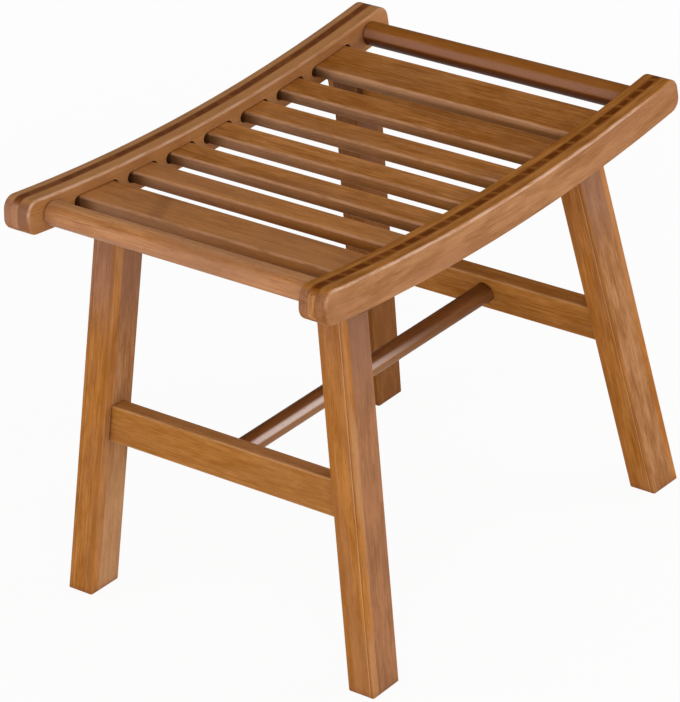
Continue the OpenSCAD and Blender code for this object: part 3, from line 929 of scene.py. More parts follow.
def bar_bands(wood, base, share):
    """The front bar gets a painted highlight along its top and a faint, greyish painted reflection below. The back
    bar is darker along its top, and has painted shade below and a rosy painted sheen along its inner side"""
    nodes, look = wood.nodes, wood.look
    _, out, up = nodes.parts(wood.lay)
    back = wood.shift
    front = nodes.rest(back)
    # Faint painted reflection on the front bar's lower part, and a painted highlight along its top
    base = wood.over(base, look.dowel_sheen, nodes.fall(up, 0.0045, 0.0075), front, 0.06)
    base = wood.over(base, look.pale_wear_and_highlight, nodes.span(up, 0.0086, 0.0106), front, 0.18)
    base = wood.over(base, look.frame_deep, nodes.span(up, 0.0080, 0.0105), back, 0.7)
    # Painted shade under the back bar, and a rosy painted sheen along its inner side
    base = wood.over(base, look.bar_under, nodes.fall(up, -0.001, 0.005), back)
    gloss = nodes.times(wood.line(up, 0.0055, 0.0028, soft=1.5), nodes.fall(out, -0.006, -0.003))
    return wood.over(base, look.bar_sheen, gloss, back)


def dowel_bands(wood, base, share):
    """Painted light along the rod's right side: a warm band low down and a pale painted highlight line above it,
    both strongest near the front end
    """
    nodes, look = wood.nodes, wood.look
    along, up, right = nodes.parts(wood.lay)
    base = wood.over(base, look.dowel_low_light, nodes.fall(up, 0.0035, 0.0065), nodes.span(right, 0.002, 0.006),
                     nodes.span(along, -0.02, 0.16, 0.75, 0.20))
    highlighted = nodes.times(wood.line(up, 0.0042, 0.0019, soft=1.8), nodes.span(right, 0.003, 0.007))
    return wood.over(base, look.dowel_sheen, highlighted, nodes.fall(along, -0.10, 0.12))


def board_face_sheen(wood, base, share):
    """Painted sheen: a board's upper and lower sides are a little paler and greyer, less so on a board that is
    less rosy
    """
    return wood.over(base, wood.look.pale_wear_and_highlight, wood.level(),
                     wood.nodes.span(wood.rosier, -0.9, 0.0, 0.035, 0.12))


def strip_wood(name, context, tones, bands, strip, side_strip, line, rubbed="pale_wear_and_highlight", strips=0.4, fine=0.45,
               mottle=0.25, streak=0.40, cloud=0.30, blush=0.2, **finish):
    """Strips of bamboo with their grain along the piece, and the bands that only one kind of piece has"""
    wood = Wood(name, context)
    nodes, fibre, look = wood.nodes, wood.fibre, wood.look
    _, across, through = nodes.parts(wood.grain)
    flat = nodes.group(effect("Stool Strips"), Across=across, Strip_Width=strip)
    stood = nodes.group(effect("Stool Strips"), Across=through, Strip_Width=side_strip, Start=3.7)
    sideways = wood.sideways()
    seam = nodes.times(nodes.mix(sideways, flat["Line"], stood["Line"]), line)
    tone = nodes.mix(sideways, flat["Tone"], stood["Tone"])
    share = wood.share(fibre, (tone, strips), fine=fine, mottle=mottle, streak=streak, cloud=cloud)
    base = wood.between(share, getattr(look, tones + "_deep"), getattr(look, tones + "_pale"))
    base = wood.over(base, look.blush, wood.blush, blush)
    base = bands(wood, base, share)
    base = wood.over(base, look.end_grain, fibre["Fleck"], 0.30)
    base = wood.over(base, look.end_grain, seam)
    return wood.finish(wood.sawn(base), wood.relief(seam), rubbed=getattr(look, rubbed), **finish)


def leg_wood(name, context, **finish):
    """Legs glued up from layers: golden in front, with two fine lines near the outer corner, and rosy on
    the sides behind a golden layer at the front. Painted shade darkens their tops under the seat and the deepest
    leg all over; painted light from the floor makes the left legs' sides paler near the foot"""
    wood = Wood(name, context)
    nodes, fibre, look, size = wood.nodes, wood.fibre, wood.look, wood.size
    along, across, through = nodes.parts(wood.lay)
    shifted = nodes.less(across, nodes.times(wood.shift, 0.0014))
    layered = nodes.less(through, nodes.times(wood.shift, 0.0010))
    half_wide, half_deep = size.leg_width / 2, size.leg_depth / 2
    seat_shade = nodes.span(along, -0.14, -0.06)
    near_foot = nodes.fall(along, -0.30, -0.20)
    sideways = wood.sideways()
    front_on = nodes.rest(sideways)

    share = wood.share(fibre, mottle=0.25, streak=0.40, cloud=0.45)
    golden = wood.between(share, look.leg_deep, look.leg_pale)
    golden = wood.over(golden, look.blush, wood.blush, 0.45)
    # Painted shade at the legs' tops under the seat, on the front faces, strongest on the left legs
    mauve = wood.between(share, look.leg_mauve, [1.5 * c for c in look.leg_mauve])
    shaded_top = nodes.times(seat_shade, nodes.span(wood.shift, -0.8, 0.0, 1.0, 0.22), front_on, 0.75)
    golden = nodes.mix(shaded_top, golden, mauve)
    inner_strip = nodes.fall(shifted, 0.0055 - half_wide, 0.0065 - half_wide)
    golden = wood.over(golden, look.leg_deep, inner_strip, front_on, 0.42)
    pale_line = wood.line(shifted, half_wide - 0.0045, 0.0004)
    golden = wood.over(golden, look.pale_wear_and_highlight, pale_line, front_on, nodes.span(wood.shift, -0.8, 0.8, 0.15, 0.5))
    dark_line = nodes.times(wood.line(shifted, half_wide - 0.0033, 0.0003), front_on)
    golden = wood.over(golden, look.end_grain, dark_line, 0.55)

    side_share = wood.share(fibre, streak=0.4, cloud=0.6)
    tan = wood.between(side_share, look.rail_deep, look.rail_pale)
    rosy = wood.between(side_share, [0.72 * c for c in look.blush], [1.12 * c for c in look.blush])
    rosy = nodes.mix(nodes.span(wood.rosier, -0.7, 0.3), tan, rosy)
    # A leg of dark wood is the same all round
    rosy = nodes.mix(nodes.span(wood.deeper, 0.45, 0.80), rosy, golden)
    # Painted shade on the sides at the top, under the seat
    rosy = wood.over(rosy, look.leg_mauve, seat_shade, 0.60)
    # Painted light from the floor: the left legs' sides grow paler towards the foot
    floor_lit = wood.between(nodes.span(wood.deeper, 0.45, 0.95, 0.0, 0.85), look.pale_wear_and_highlight, look.leg_pale)
    rosy = nodes.mix(nodes.times(near_foot, nodes.fall(wood.shift, -0.8, 0.0), 0.35), rosy, floor_lit)
    front_layer = nodes.span(layered, half_deep - 0.0095, half_deep - 0.0070)
    sides = nodes.mix(front_layer, rosy, wood.over(golden, look.pale_wear_and_highlight, wood.blush, 0.25))

    base = nodes.mix(sideways, golden, sides)
    # Painted shade: the deepest leg, the back left one, is darkened as it stands in shadow
    base = wood.over(base, look.seam, nodes.span(wood.deeper, 0.45, 0.95), 0.55)
    base = wood.over(base, look.end_grain, fibre["Fleck"], 0.30)
    return wood.finish(wood.sawn(base), wood.relief(dark_line), rubbed=look.leg_pale, **finish)


def rail_wood(name, context, **finish):
    """Cross laminated board: two plies along the rail and a core whose fibres stand upright between them"""
    wood = Wood(name, context)
    nodes, look = wood.nodes, wood.look
    along, across, up = nodes.parts(wood.lay)
    left = nodes.span(wood.shift, -0.1, 0.1)
    greyed = nodes.span(wood.rosier, 0.0, 0.35, 0.0, 0.55)

    # The lines between the plies wander a little, as glued strips do
    wander = nodes.noise(nodes.scaled(wood.grain, (9.0, 0.0, 40.0)), detail=1.0)
    shifted = nodes.plus(across, nodes.times(nodes.less(wander, 0.5), 0.0014))
    shifted = nodes.less(shifted, nodes.times(wood.shift, 0.0010))
    inner_edge, outer_edge = edges = look.ply_inner, wood.size.rail_thick - look.ply_outer
    past_inner, past_outer = (nodes.span(shifted, edge - 0.0006, edge + 0.0006) for edge in edges)
    seams = nodes.larger(*(wood.line(shifted, edge, 0.0004) for edge in edges))

    share = wood.share(wood.fibre, mottle=0.20, streak=0.30, cloud=0.60)
    side = wood.between(share, look.rail_deep, look.rail_pale)
    side = wood.over(side, look.blush, wood.blush, 0.50)
    # Painted shade: the right rail's sides darken towards its back end
    side = wood.over(side, look.rail_deep, nodes.span(along, 0.04, 0.24), nodes.span(left, 0.0, 1.0, 0.35, 0.0))
    side = wood.over(side, look.leg_pale, nodes.less(left, past_inner, clamp=True), 0.30)
    top = nodes.mix(greyed, wood.between(share, look.ply_deep, look.ply_pale), side)
    top = wood.over(top, look.pale_wear_and_highlight, greyed, 0.25)
    upward = wood.level()
    ply = nodes.mix(upward, side, top)
    ends = nodes.mix(greyed, wood.between(share, look.end_grain, look.ply_end), colour(look.nose_rosy))
    ends = wood.over(ends, look.end_grain, nodes.rest(past_inner), nodes.span(greyed, 0.0, 0.5, 0.05, 0.55))
    ends = wood.over(ends, look.ply_deep, past_outer, nodes.span(greyed, 0.0, 0.5, 0.25, 0.10))
    ends = wood.over(ends, look.leg_deep, nodes.fall(up, 0.003, 0.013), 0.7)
    ply = nodes.mix(nodes.span(wood.face_along, 0.45, 0.88), ply, ends)
    # Paler wood lies close to the core on both sides
    pale = nodes.larger(wood.line(shifted, outer_edge + 0.0030, 0.0012),
                        nodes.times(wood.line(shifted, inner_edge - 0.0030, 0.0012), 0.5))
    ply = wood.over(ply, look.pale_wear_and_highlight, pale, upward, 0.12)

    core = rail_core(wood, shifted, (inner_edge + outer_edge) / 2, greyed)
    base = nodes.mix(nodes.less(past_inner, past_outer), ply, core)
    base = wood.over(base, look.core_block, seams, 0.25)
    base = wood.over(base, look.end_grain, wood.fibre["Fleck"], 0.25)
    height = nodes.less(wood.fibre["Fine"], nodes.times(seams, 0.8))
    # The rails' edges take a painted highlight
    return wood.finish(base, height, worn=nodes.times(rail_edge_highlight_mask(wood, left), 0.70), rubbed=look.rail_edge,
                       **finish)


def rail_core(wood, shifted, middle, greyed):
    """The core: dark end grain blocks along the rail, and long fibres where its nose turns down"""
    nodes, look = wood.nodes, wood.look
    along, across, through = nodes.parts(wood.grain)
    ragged = nodes.times(nodes.less(wood.ends["Tone"], 0.5), 0.0020)
    slanted = nodes.plus(nodes.less(along, nodes.times(across, 0.25)), ragged)
    row = nodes.group(effect("Stool Core Blocks"), Along=slanted, Block_Length=0.0175)
    parted = nodes.times(row["Joint"], nodes.span(greyed, 0.0, 0.5, 0.80, 0.20))
    off_middle = nodes.math("ABSOLUTE", nodes.less(nodes.plus(shifted, ragged), middle))
    dark = nodes.times(nodes.less(row["Dark"], parted, clamp=True),
                       nodes.span(off_middle, 0.0020, 0.0042, 1.0, 0.40))
    blocks = wood.between(dark, look.core_between, look.core_block)
    blocks = wood.over(blocks, look.nose_rosy, greyed, 0.15)
    fibre = nodes.group(effect("Stool Fibre"), Grain=nodes.joined(through, across, along), Line_Width=0.0010)
    upright = wood.between(wood.share(fibre, fine=0.5), look.ply_deep, look.core_long)
    upright = nodes.mix(greyed, upright, colour(look.nose_rosy))
    return nodes.mix(nodes.span(wood.face_through, 0.40, 0.85), upright, blocks)


def rail_edge_highlight_mask(wood, left):
    """Painted highlight along the right rail's outer top edge and the left rail's inner one: strong in front,
    weaker towards the back end and, on the right rail, at the very front tip; only on the upper part of the rail
    """
    nodes = wood.nodes
    along, across, up = nodes.parts(wood.lay)
    outer = nodes.times(nodes.span(across, 0.020, 0.024), nodes.rest(left),
                        nodes.span(along, 0.17, 0.22, 1.0, 0.1), nodes.span(along, -0.248, -0.228, 0.4, 1.0))
    inner = nodes.times(nodes.fall(across, 0.006, 0.010), left, nodes.span(along, -0.02, 0.20, 0.85, 0.25))
    return nodes.times(nodes.plus(outer, inner), nodes.span(up, 0.010, 0.024))


def screw_steel(name, context):
    """Plain steel with the fine rings of the lathe"""
    made, nodes = new_material(name)
    steel = context.scene.stool_finish.steel
    place = nodes.add("ShaderNodeTexCoord").outputs["Object"]
    fine = nodes.span(nodes.noise(nodes.scaled(place, (900.0, 900.0, 2400.0))), 0.35, 0.65)
    base = nodes.mix(fine, colour([0.86 * c for c in steel]), colour(steel))
    relief = nodes.add("ShaderNodeBump", {"Height": fine, "Strength": 0.15, "Distance": 0.0001})
    shader = nodes.add("ShaderNodeBsdfPrincipled", {
        "Base Color": base, "Metallic": 1.0, "Roughness": nodes.span(fine, 0.0, 1.0, 0.42, 0.28, soft=False),
        "Normal": relief.outputs[0]})
    nodes.add("ShaderNodeOutputMaterial", {"Surface": shader.outputs[0]})
    return made


# Turned rods show no strips and have a finer relief
ROD = dict(strip=0.05, side_strip=0.05, line=0.0, strips=0.0, fine=0.3, worn=0.1, coat=0.05)

# The finish of each slot: its name, what makes it, and its settings
FINISHES = {
    "rail_wood": ("Rail board", rail_wood, dict(bump=0.30, gloss=0.04, coat=0.06)),
    "slat_wood": ("Slat bamboo", strip_wood, dict(
        tones="slat", bands=slat_sides, strip=0.019, side_strip=0.011, line=0.22, blush=0.40, worn=0.75,
        rubbed="slat_edge", gloss=0.05, coat=0.08)),
    "bar_wood": ("End bar", strip_wood, dict(
        ROD, tones="bar", bands=bar_bands, mottle=0.15, streak=0.5, cloud=0.25, blush=0.6, rough=(0.38, 0.48),
        bump=0.12, gloss=0.05, joint=0.3)),
    "leg_wood": ("Leg bamboo", leg_wood, dict(worn=0.25, gloss=0.04, coat=0.04)),
    "frame_wood": ("Frame board", strip_wood, dict(
        tones="frame", bands=board_face_sheen, strip=0.02, side_strip=0.017, line=0.3, worn=0.45, gloss=0.04,
        coat=0.04)),
    "dowel_wood": ("Round stretcher", strip_wood, dict(
        ROD, tones="dowel", bands=dowel_bands, mottle=0.2, rough=(0.38, 0.46), bump=0.06, gloss=0.03,
        coat_rough=0.24)),
    "screw_steel": ("Seat screw steel", screw_steel, {}),
}

# How each board differs from its wood's usual tone: deeper, rosier, and how its layers or bands are shifted.
# The other pieces keep the usual tone
BOARD_TONES = {
    "side_rail_right": (0.0, 0.0, -0.5),
    "side_rail_left": (-0.5, 0.40, 1.8),
    "seat_slat_1": (-0.6, 0.9, -1.0),
    "seat_slat_2": (-0.6, 0.4, 0.0),
    "seat_slat_3": (0.0, -0.2, 0.0),
    "seat_slat_4": (-0.1, -0.1, 0.0),
    "seat_slat_5": (0.2, -0.1, 0.0),
    "seat_slat_6": (0.70, -1.0, 0.1),
    "seat_slat_7": (0.4, -0.9, 1.0),
    "end_bar_front": (-0.3, 0.4, 0.0),
    # The back bar is deeper partly as painted shade
    "end_bar_back": (1.0, 0.0, 1.0),
    "leg_front_right": (-0.1, 0.1, 0.8),
    "leg_front_left": (0.1, -0.5, -0.8),
    "leg_back_right": (0.2, -0.7, 0.3),
    # The back left leg is deeper partly as painted shade
    "leg_back_left": (1.0, -1.2, -0.3),
    "stretcher_front": (0.0, 0.2, 0.0),
    "stretcher_back": (0.4, -0.9, 0.0),
}


def settle(context, shape, kind, node, slot):
    """Makes the piece, gives it its finish and puts it in its node's place"""
    name = f"{kind}_{node}"
    chance = random.Random(f"{context.scene.stool_finish.seed} {name}")
    offset = Vector([round(chance.uniform(1.0, 9.0), 3) for _ in range(3)])
    piece = shape.build(name, offset, BOARD_TONES.get(node, (0.0, 0.0, 0.0)))
    label, maker, settings = FINISHES[slot]
    piece.data.materials.append(bpy.data.materials.get(label) or maker(label, context, **settings))
    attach(piece, BODY)
    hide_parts(node)


# ---------------------------------------------------------------- operators

class STOOL_OT_side_rails(Operator):
    """Build the two curved side rails with their rounded ends"""

    bl_idname = "stool.side_rails"
    bl_label = "Side Rails"
    bl_options = {"REGISTER", "UNDO"}

    def execute(self, context):
        size = context.scene.stool_sizes
        where = Layout(size)
        for hand in (RIGHT, LEFT):
            shape = Shape(self.bent(where, size, hand))
            self.rail(shape, where, size)
            settle(context, shape, "board", f"side_rail_{HAND_NAMES[hand]}", "rail_wood")
        return {"FINISHED"}

    @staticmethod
    def bent(where, size, hand):
        """Along the rail is the length of its top edge, across is the distance from its inner face and
        through is the height above its underside. Past the arc's end the rail goes straight on"""
        arc_half = where.nose_angle * where.arc_radius

        def place(lay, facing):
            s, x, up = lay
            turn = max(-arc_half, min(arc_half, s)) / where.arc_radius
            spare = s - turn * where.arc_radius
            matrix = where.on_arc(turn)
            at = matrix @ Vector((hand * (where.inner_x + x), spare, up - size.rail_height))
            normal = matrix.to_3x3() @ Vector((hand * facing.y, facing.x, facing.z))
            return at, normal.normalized()
        return place

    def rail(self, shape, where, size):
        arc_half = where.nose_angle * where.arc_radius
        radius, height, thick, ease = size.nose_radius, size.rail_height, size.rail_thick, size.rail_ease
        flat = ease + RAIL_EDGE_ROOM

        def nose(sign):
            """Pairs of points round one end, from its tip to the arc"""
            pairs = []
            for turn in quarter(NOSE_STEPS):
                s, c = math.sin(turn), math.cos(turn)
                p = sign * (arc_half + radius * c)
                pairs.append((Rim(p, height - radius + radius * s, sign * c, s),
                              Rim(p, radius - radius * s, sign * c, -s)))
            return pairs

        mortises = list(where.mortises())
        marks = [-arc_half, *(at for mortise in mortises for at in mortise), arc_half]
        columns = nose(-1)
        for k, (a, b) in enumerate(zip(marks, marks[1:])):
            # The round ends of the mortises, at odd places in the row, stay whole
            count = 1 if k % 2 else math.ceil((b - a) / RAIL_STEP)
            for i in range(1 if k == 0 else 0, count):
                p = a + (b - a) * i / count
                columns.append((Rim(p, height, 0, 1), Rim(p, 0, 0, -1)))
        loop = loop_of(columns + nose(1)[::-1])

        def row(x, inset, out, edge=0.0):
            """Points round the rail at one distance from its inner face"""
            level = math.sqrt(max(0.0, 1.0 - out * out))
            return [Corner((rim.p - rim.np * inset, x, rim.q - rim.nq * inset),
                           (rim.np * level, out, rim.nq * level), edge) for rim in loop]

        turns = quarter(ROUND_STEPS)
        rows = [row(0.0, flat, -1.0)]
        rows += [row(ease - ease * math.sin(turn), ease - ease * math.cos(turn), -math.sin(turn), edge_of(turn))
                 for turn in reversed(turns)]
        rows += [row(x, 0.0, 0.0) for x in (flat, thick / 2, thick - flat)]
        rows += [row(thick - ease + ease * math.sin(turn), ease - ease * math.cos(turn), math.sin(turn),
                     edge_of(turn)) for turn in turns]
        rows.append(row(thick, flat, 1.0))
        shape.sheet([around + around[:1] for around in rows])
        shape.cap(rows[-1])
        self.seat_face(shape, rows[0], mortises, size)

    @staticmethod
    def seat_face(shape, row, mortises, size):
        """The rail's flat face on the seat side, open where the slats go in, with the walls of each mortise"""
        top = size.rail_height - size.slat_drop + size.fit
        foot = size.rail_height - size.slat_drop - size.slat_thick - size.fit
        middle, half = (top + foot) / 2, (top - foot) / 2
        facing = Vector((0, -1, 0))
        deep = size.slat_tenon + size.end_room
        wall = ((0.0, 0.55), (0.4 * deep, 1.0), (deep, 1.0))    # depths, and how dark each is: painted shade that deepens into the mortise
        turns = quarter(MORTISE_STEPS)
        half_turn = turns[1:] + [math.pi / 2 + turn for turn in turns[1:]]
        places = [corner.lay.x for corner in row[:len(row) // 2]]

        def on_face(at, up):
            return Corner((at, 0, up), facing)

        def arc(pivot, tip, sign):
            """Corners from the mortise's straight side round to its tip"""
            return [on_face(pivot + (tip - pivot) * math.sin(turn), middle + sign * half * math.cos(turn))
                    for turn in turns]

        def near(a, b):
            return abs(a - b) < SAME_PLACE

        for i, (a, b) in enumerate(zip(places, places[1:])):
            upper, after, lower, lower_after = row[i], row[i + 1], row[-1 - i], row[-2 - i]
            inside = [m for m in mortises if m[0] - SAME_PLACE < a and b < m[3] + SAME_PLACE]
            if not inside:
                tip = [on_face(b, middle)] if any(near(m[0], b) for m in mortises) else []
                tail = [on_face(a, middle)] if any(near(m[3], a) for m in mortises) else []
                shape.face([upper, after, *tip, lower_after, lower, *tail])
                continue
            first, start, end, last = inside[0]
            for sign, level, one, two in ((1, top, upper, after), (-1, foot, lower, lower_after)):
                if near(a, first):
                    shape.face([one, two, *arc(start, first, sign)])
                elif near(b, last):
                    shape.face([two, one, *arc(end, last, sign)])
                else:
                    shape.face([one, two, on_face(b, level), on_face(a, level)])

        def rounded(pivot, reach, sign, turns):
            """Points of the wall round one end, each with its direction from the middle"""
            outs = [(sign * math.sin(turn), sign * math.cos(turn)) for turn in turns]
            return [((pivot + reach * out[0], middle + half * out[1]), out) for out in outs]

        for first, start, end, last in mortises:
            between = [p for p in places if start - SAME_PLACE < p < end + SAME_PLACE]
            ring = [((p, top), (0, 1)) for p in between]
            ring += rounded(end, last - end, 1, half_turn)
            ring += [((p, foot), (0, -1)) for p in reversed(between[:-1])]
            ring += rounded(start, start - first, -1, half_turn[:-1])
            shape.sheet([[Corner((at, depth, up), (-along, 0, -through), 0.0, butt)
                          for (at, up), (along, through) in ring + ring[:1]]
                         for depth, butt in wall])
            shape.face([Corner((at, deep, up), facing, 0.0, 1.0) for (at, up), _ in ring])


class STOOL_OT_seat_slats(Operator):
    """Build the seven seat slats between the side rails"""

    bl_idname = "stool.seat_slats"
    bl_label = "Seat Slats"
    bl_options = {"REGISTER", "UNDO"}

    def execute(self, context):
        size = context.scene.stool_sizes
        where = Layout(size)
        for number, (y, width) in enumerate(where.slats, start=1):
            turn = where.angle_at(y, size.slat_drop)
            shape = Shape(straight(where.on_arc(turn) @ Matrix.Translation((0, 0, -where.slat_under))))
            columns = section(width, size.slat_thick, size.slat_ease, size.arris, flats=(width / 2,))
            timber(shape, columns, square_ends(where.inner_x + size.slat_tenon), size.arris / 2,
                   shift=(-width / 2, 0.0), seat=size.slat_tenon)
            settle(context, shape, "board", f"seat_slat_{number}", "slat_wood")
        return {"FINISHED"}


class STOOL_OT_end_bars(Operator):
    """Build the round bars that close the seat at the front and back"""

    bl_idname = "stool.end_bars"
    bl_label = "End Bars"
    bl_options = {"REGISTER", "UNDO"}

    def execute(self, context):
        size = context.scene.stool_sizes
        where = Layout(size)
        for side in (FRONT, BACK):
            shape = Shape(straight(where.bar_place(side)))
            turned(shape, rounded_rod(where.inner_x, size.bar_diameter / 2, size.bar_shoulder, steps=5),
                   BAR_STEPS)
            settle(context, shape, "turned", f"end_bar_{SIDE_NAMES[side]}", "bar_wood")
        return {"FINISHED"}


class STOOL_OT_legs(Operator):
    """Build the four raked legs, cut flat at the floor"""

    bl_idname = "stool.legs"
    bl_label = "Legs"
    bl_options = {"REGISTER", "UNDO"}

    def execute(self, context):
        size = context.scene.stool_sizes
        where = Layout(size)
        columns = section(size.leg_width, size.leg_depth, size.leg_ease, size.leg_ease,
                          flats=(size.leg_width / 2,))
        floor = Vector((0, 0, 0)), Vector((0, 0, -1))
        for side in (FRONT, BACK):
            for hand in (LEFT, RIGHT):
                matrix = where.on_leg(side, hand) @ axes("Z", "X", "Y")
                shape = Shape(straight(matrix))
                ends = [sawn_end(matrix, *plane) for plane in (floor, where.slat_plane(side))]
                timber(shape, columns, ends, 0.9 * MM, butts=(0, 1),
                       shift=(-size.leg_width / 2, -size.leg_depth / 2))
                settle(context, shape, "board", f"leg_{SIDE_NAMES[side]}_{HAND_NAMES[hand]}", "leg_wood")
        return {"FINISHED"}


class STOOL_OT_cross_rails(Operator):
    """Build the cross rails under the wide slats, from side rail to side rail, with their counterbores"""

    bl_idname = "stool.cross_rails"
    bl_label = "Cross Rails"
    bl_options = {"REGISTER", "UNDO"}

    def execute(self, context):
        size = context.scene.stool_sizes
        where = Layout(size)
        columns = section(size.cross_thick, size.cross_height, 0.3 * MM, size.board_ease)
        radius = size.screw_head / 2 + size.head_room
        holes = [Hole(columns, True, along, None, radius, size.screw_sink, (0, 0, -1))
                 for along in (-size.screw_spread, size.screw_spread)]
        for side in (FRONT, BACK):
            shape = Shape(straight(where.in_frame(side) @ Matrix.Translation((0, 0, -size.cross_height))))
            timber(shape, columns, square_ends(where.inner_x), size.arris / 2, holes=holes,
                   shift=(-size.cross_thick / 2, 0.0), slope=math.tan(where.wide_angle - size.frame_lean))
            settle(context, shape, "board", f"cross_rail_{SIDE_NAMES[side]}", "frame_wood")
        return {"FINISHED"}


class STOOL_OT_stretchers(Operator):
    """Build the flat stretchers, each with the socket of the round stretcher"""

    bl_idname = "stool.stretchers"
    bl_label = "Flat Stretchers"
    bl_options = {"REGISTER", "UNDO"}

    def execute(self, context):
        size = context.scene.stool_sizes
        where = Layout(size)
        half, lean = size.stretcher_thick / 2, size.frame_lean
        lift = where.stretcher_up - size.stretcher_height / 2
        level = where.up_at(where.stretcher_off - half) - lift
        columns = section(size.stretcher_thick, size.stretcher_height, size.board_ease, size.board_ease)
        socket = Hole(columns, False, 0.0, level, size.dowel_diameter / 2 + size.fit, size.dowel_seat,
                      (0, -math.cos(lean), math.sin(lean)), sink=0.6 * MM)
        for side in (FRONT, BACK):
            matrix = where.in_frame(side) @ Matrix.Translation((0, where.stretcher_off, lift))
            shape = Shape(straight(matrix))
            ends = [sawn_end(matrix, *where.leg_plane(side, hand)) for hand in (LEFT, RIGHT)]
            timber(shape, columns, ends, size.arris / 2, holes=[socket], shift=(-half, 0.0))
            settle(context, shape, "board", f"stretcher_{SIDE_NAMES[side]}", "frame_wood")
        return {"FINISHED"}


class STOOL_OT_dowel_stretcher(Operator):
    """Build the round stretcher between the two leg frames"""

    bl_idname = "stool.dowel_stretcher"
    bl_label = "Round Stretcher"
    bl_options = {"REGISTER", "UNDO"}

    def execute(self, context):
        size = context.scene.stool_sizes
        low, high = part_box("dowel_stretcher")
        matrix = Matrix.Translation((0, 0, size.stretcher_level)) @ axes("Y", "Z", "X")
        shape = Shape(straight(matrix))
        turned(shape, rounded_rod((high.y - low.y) / 2, size.dowel_diameter / 2, 1.0 * MM, steps=3),
               DOWEL_STEPS)
        settle(context, shape, "turned", "dowel_stretcher", "dowel_wood")
        return {"FINISHED"}


class STOOL_OT_seat_screws(Operator):
    """Build the four pan head screws that hold the seat down"""

    bl_idname = "stool.seat_screws"
    bl_label = "Seat Screws"
    bl_options = {"REGISTER", "UNDO"}

    def execute(self, context):
        size = context.scene.stool_sizes
        where = Layout(size)
        shape = Shape(None)
        for side in (FRONT, BACK):
            for x in (-size.screw_spread, size.screw_spread):
                head = Matrix.Translation((x, 0, size.screw_sink - size.cross_height))
                shape.place = straight(where.in_frame(side) @ head @ axes("Z", "X", "Y"))
                self.screw(shape, size)
        settle(context, shape, "turned", "seat_screws", "screw_steel")
        return {"FINISHED"}

    @staticmethod
    def screw(shape, size):
        """One screw along its axis: the head below 0, with a cross recess, and the shank above"""
        head, tall, shank = size.screw_head / 2, size.screw_head_height, size.screw_shank / 2
        tip = size.cross_height - size.screw_sink + SCREW_BITE
        rim, thread = 1.4 * MM, 0.35 * MM
        slot_half, slot_reach, slot_deep = 0.55 * MM, 2.1 * MM, 1.4 * MM

        def dome(radius):
            """Height of the pan head's face, level in the middle and rounded at the rim"""
            over = max(0.0, radius - (head - rim))
            return -tall + rim - math.sqrt(max(0.0, rim * rim - over * over))

        def arm(a, b):
            """1 in one arm of the cross recess, falling to 0 beyond its sides and ends"""
            return (max(0.0, 1 - max(0.0, abs(a) - slot_half) / (0.25 * MM))
                    * max(0.0, 1 - max(0.0, abs(b) - slot_reach) / (0.30 * MM)))

        def point(ring, step):
            radius = head * ring / HEAD_RINGS
            turn = FULL_TURN * step / SCREW_STEPS
            y, z = radius * math.cos(turn), radius * math.sin(turn)
            return Vector((dome(radius) + slot_deep * max(arm(y, z), arm(z, y)), y, z))

        def facing(ring, step):
            """The head's own slope there, seen from below"""
            if ring == 0:
                return Vector((-1, 0, 0))
            round_it = point(ring, step + 1) - point(ring, step - 1)
            outward = point(min(HEAD_RINGS, ring + 1), step) - point(ring - 1, step)
            normal = round_it.cross(outward).normalized()
            return -normal if normal.x > 0 else normal

        for ring in range(HEAD_RINGS):
            for step in range(SCREW_STEPS):
                quad = ((ring, step), (ring, step + 1), (ring + 1, step + 1), (ring + 1, step))
                shape.face([Corner(point(*c), facing(*c)) for c in quad])
        side = [(dome(head), head, 0, 1, 0, 0), (0, head, 0, 1, 0, 0), (0, head, 1, 0, 0, 0),
                (0, shank, 1, 0, 0, 0), (0, shank, 0, 1, 0, 0)]
        side += [(tip * (0.3 + 0.31 * i / THREAD_TURNS), shank if i % 2 else shank - thread, 0, 1, 0, 0)
                 for i in range(2 * THREAD_TURNS)]
        side += [(tip - 2 * MM, shank * 0.8, 0.3, 1, 0, 0), (tip, 0.05 * MM, 0.6, 0.8, 0, 0)]
        turned(shape, side, SCREW_STEPS)


# ---------------------------------------------------------------- stage

# Each lamp's name, the way to it from the stool, its distance, its width and height, watts and tone
LAMPS = (
    ("Key light", (0.62, -0.70, 0.30), 2.2, (1.7, 1.7), 18.5, (1.0, 0.975, 0.95)),
    ("Edge light", (0.70, 0.66, 0.32), 2.0, (0.5, 1.6), 10.0, (1.0, 0.95, 0.93)),
    ("Low light", (0.72, 0.69, -0.04), 1.5, (0.8, 0.36), 4.0, (1.0, 0.94, 0.92)),
    ("Fill light", (-0.58, -0.76, 0.12), 2.1, (1.2, 0.9), 8.0, (1.0, 0.96, 0.94)),
)
LAMP_AIM = (0.0, 0.0, 0.25)

# Where the camera looks, from how far, and its turn, rise and roll in degrees
CAMERA_AIM = (0.0490, -0.0862, 0.2400)
CAMERA_AWAY = 3.764
CAMERA_TURNS = (41.21, 27.51, -4.73)
CAMERA_LENS, CAMERA_SENSOR = 221.5, 36.0

FLOOR_HALF = 12.0
FLOOR_LEVEL = -0.1 * MM    # just under the feet


def rays(nodes, *kinds):
    """1 for rays of the named kinds"""
    path = nodes.add("ShaderNodeLightPath").outputs
    found = path[f"Is {kinds[0]} Ray"]
    for kind in kinds[1:]:
        found = nodes.larger(found, path[f"Is {kind} Ray"])
    return found


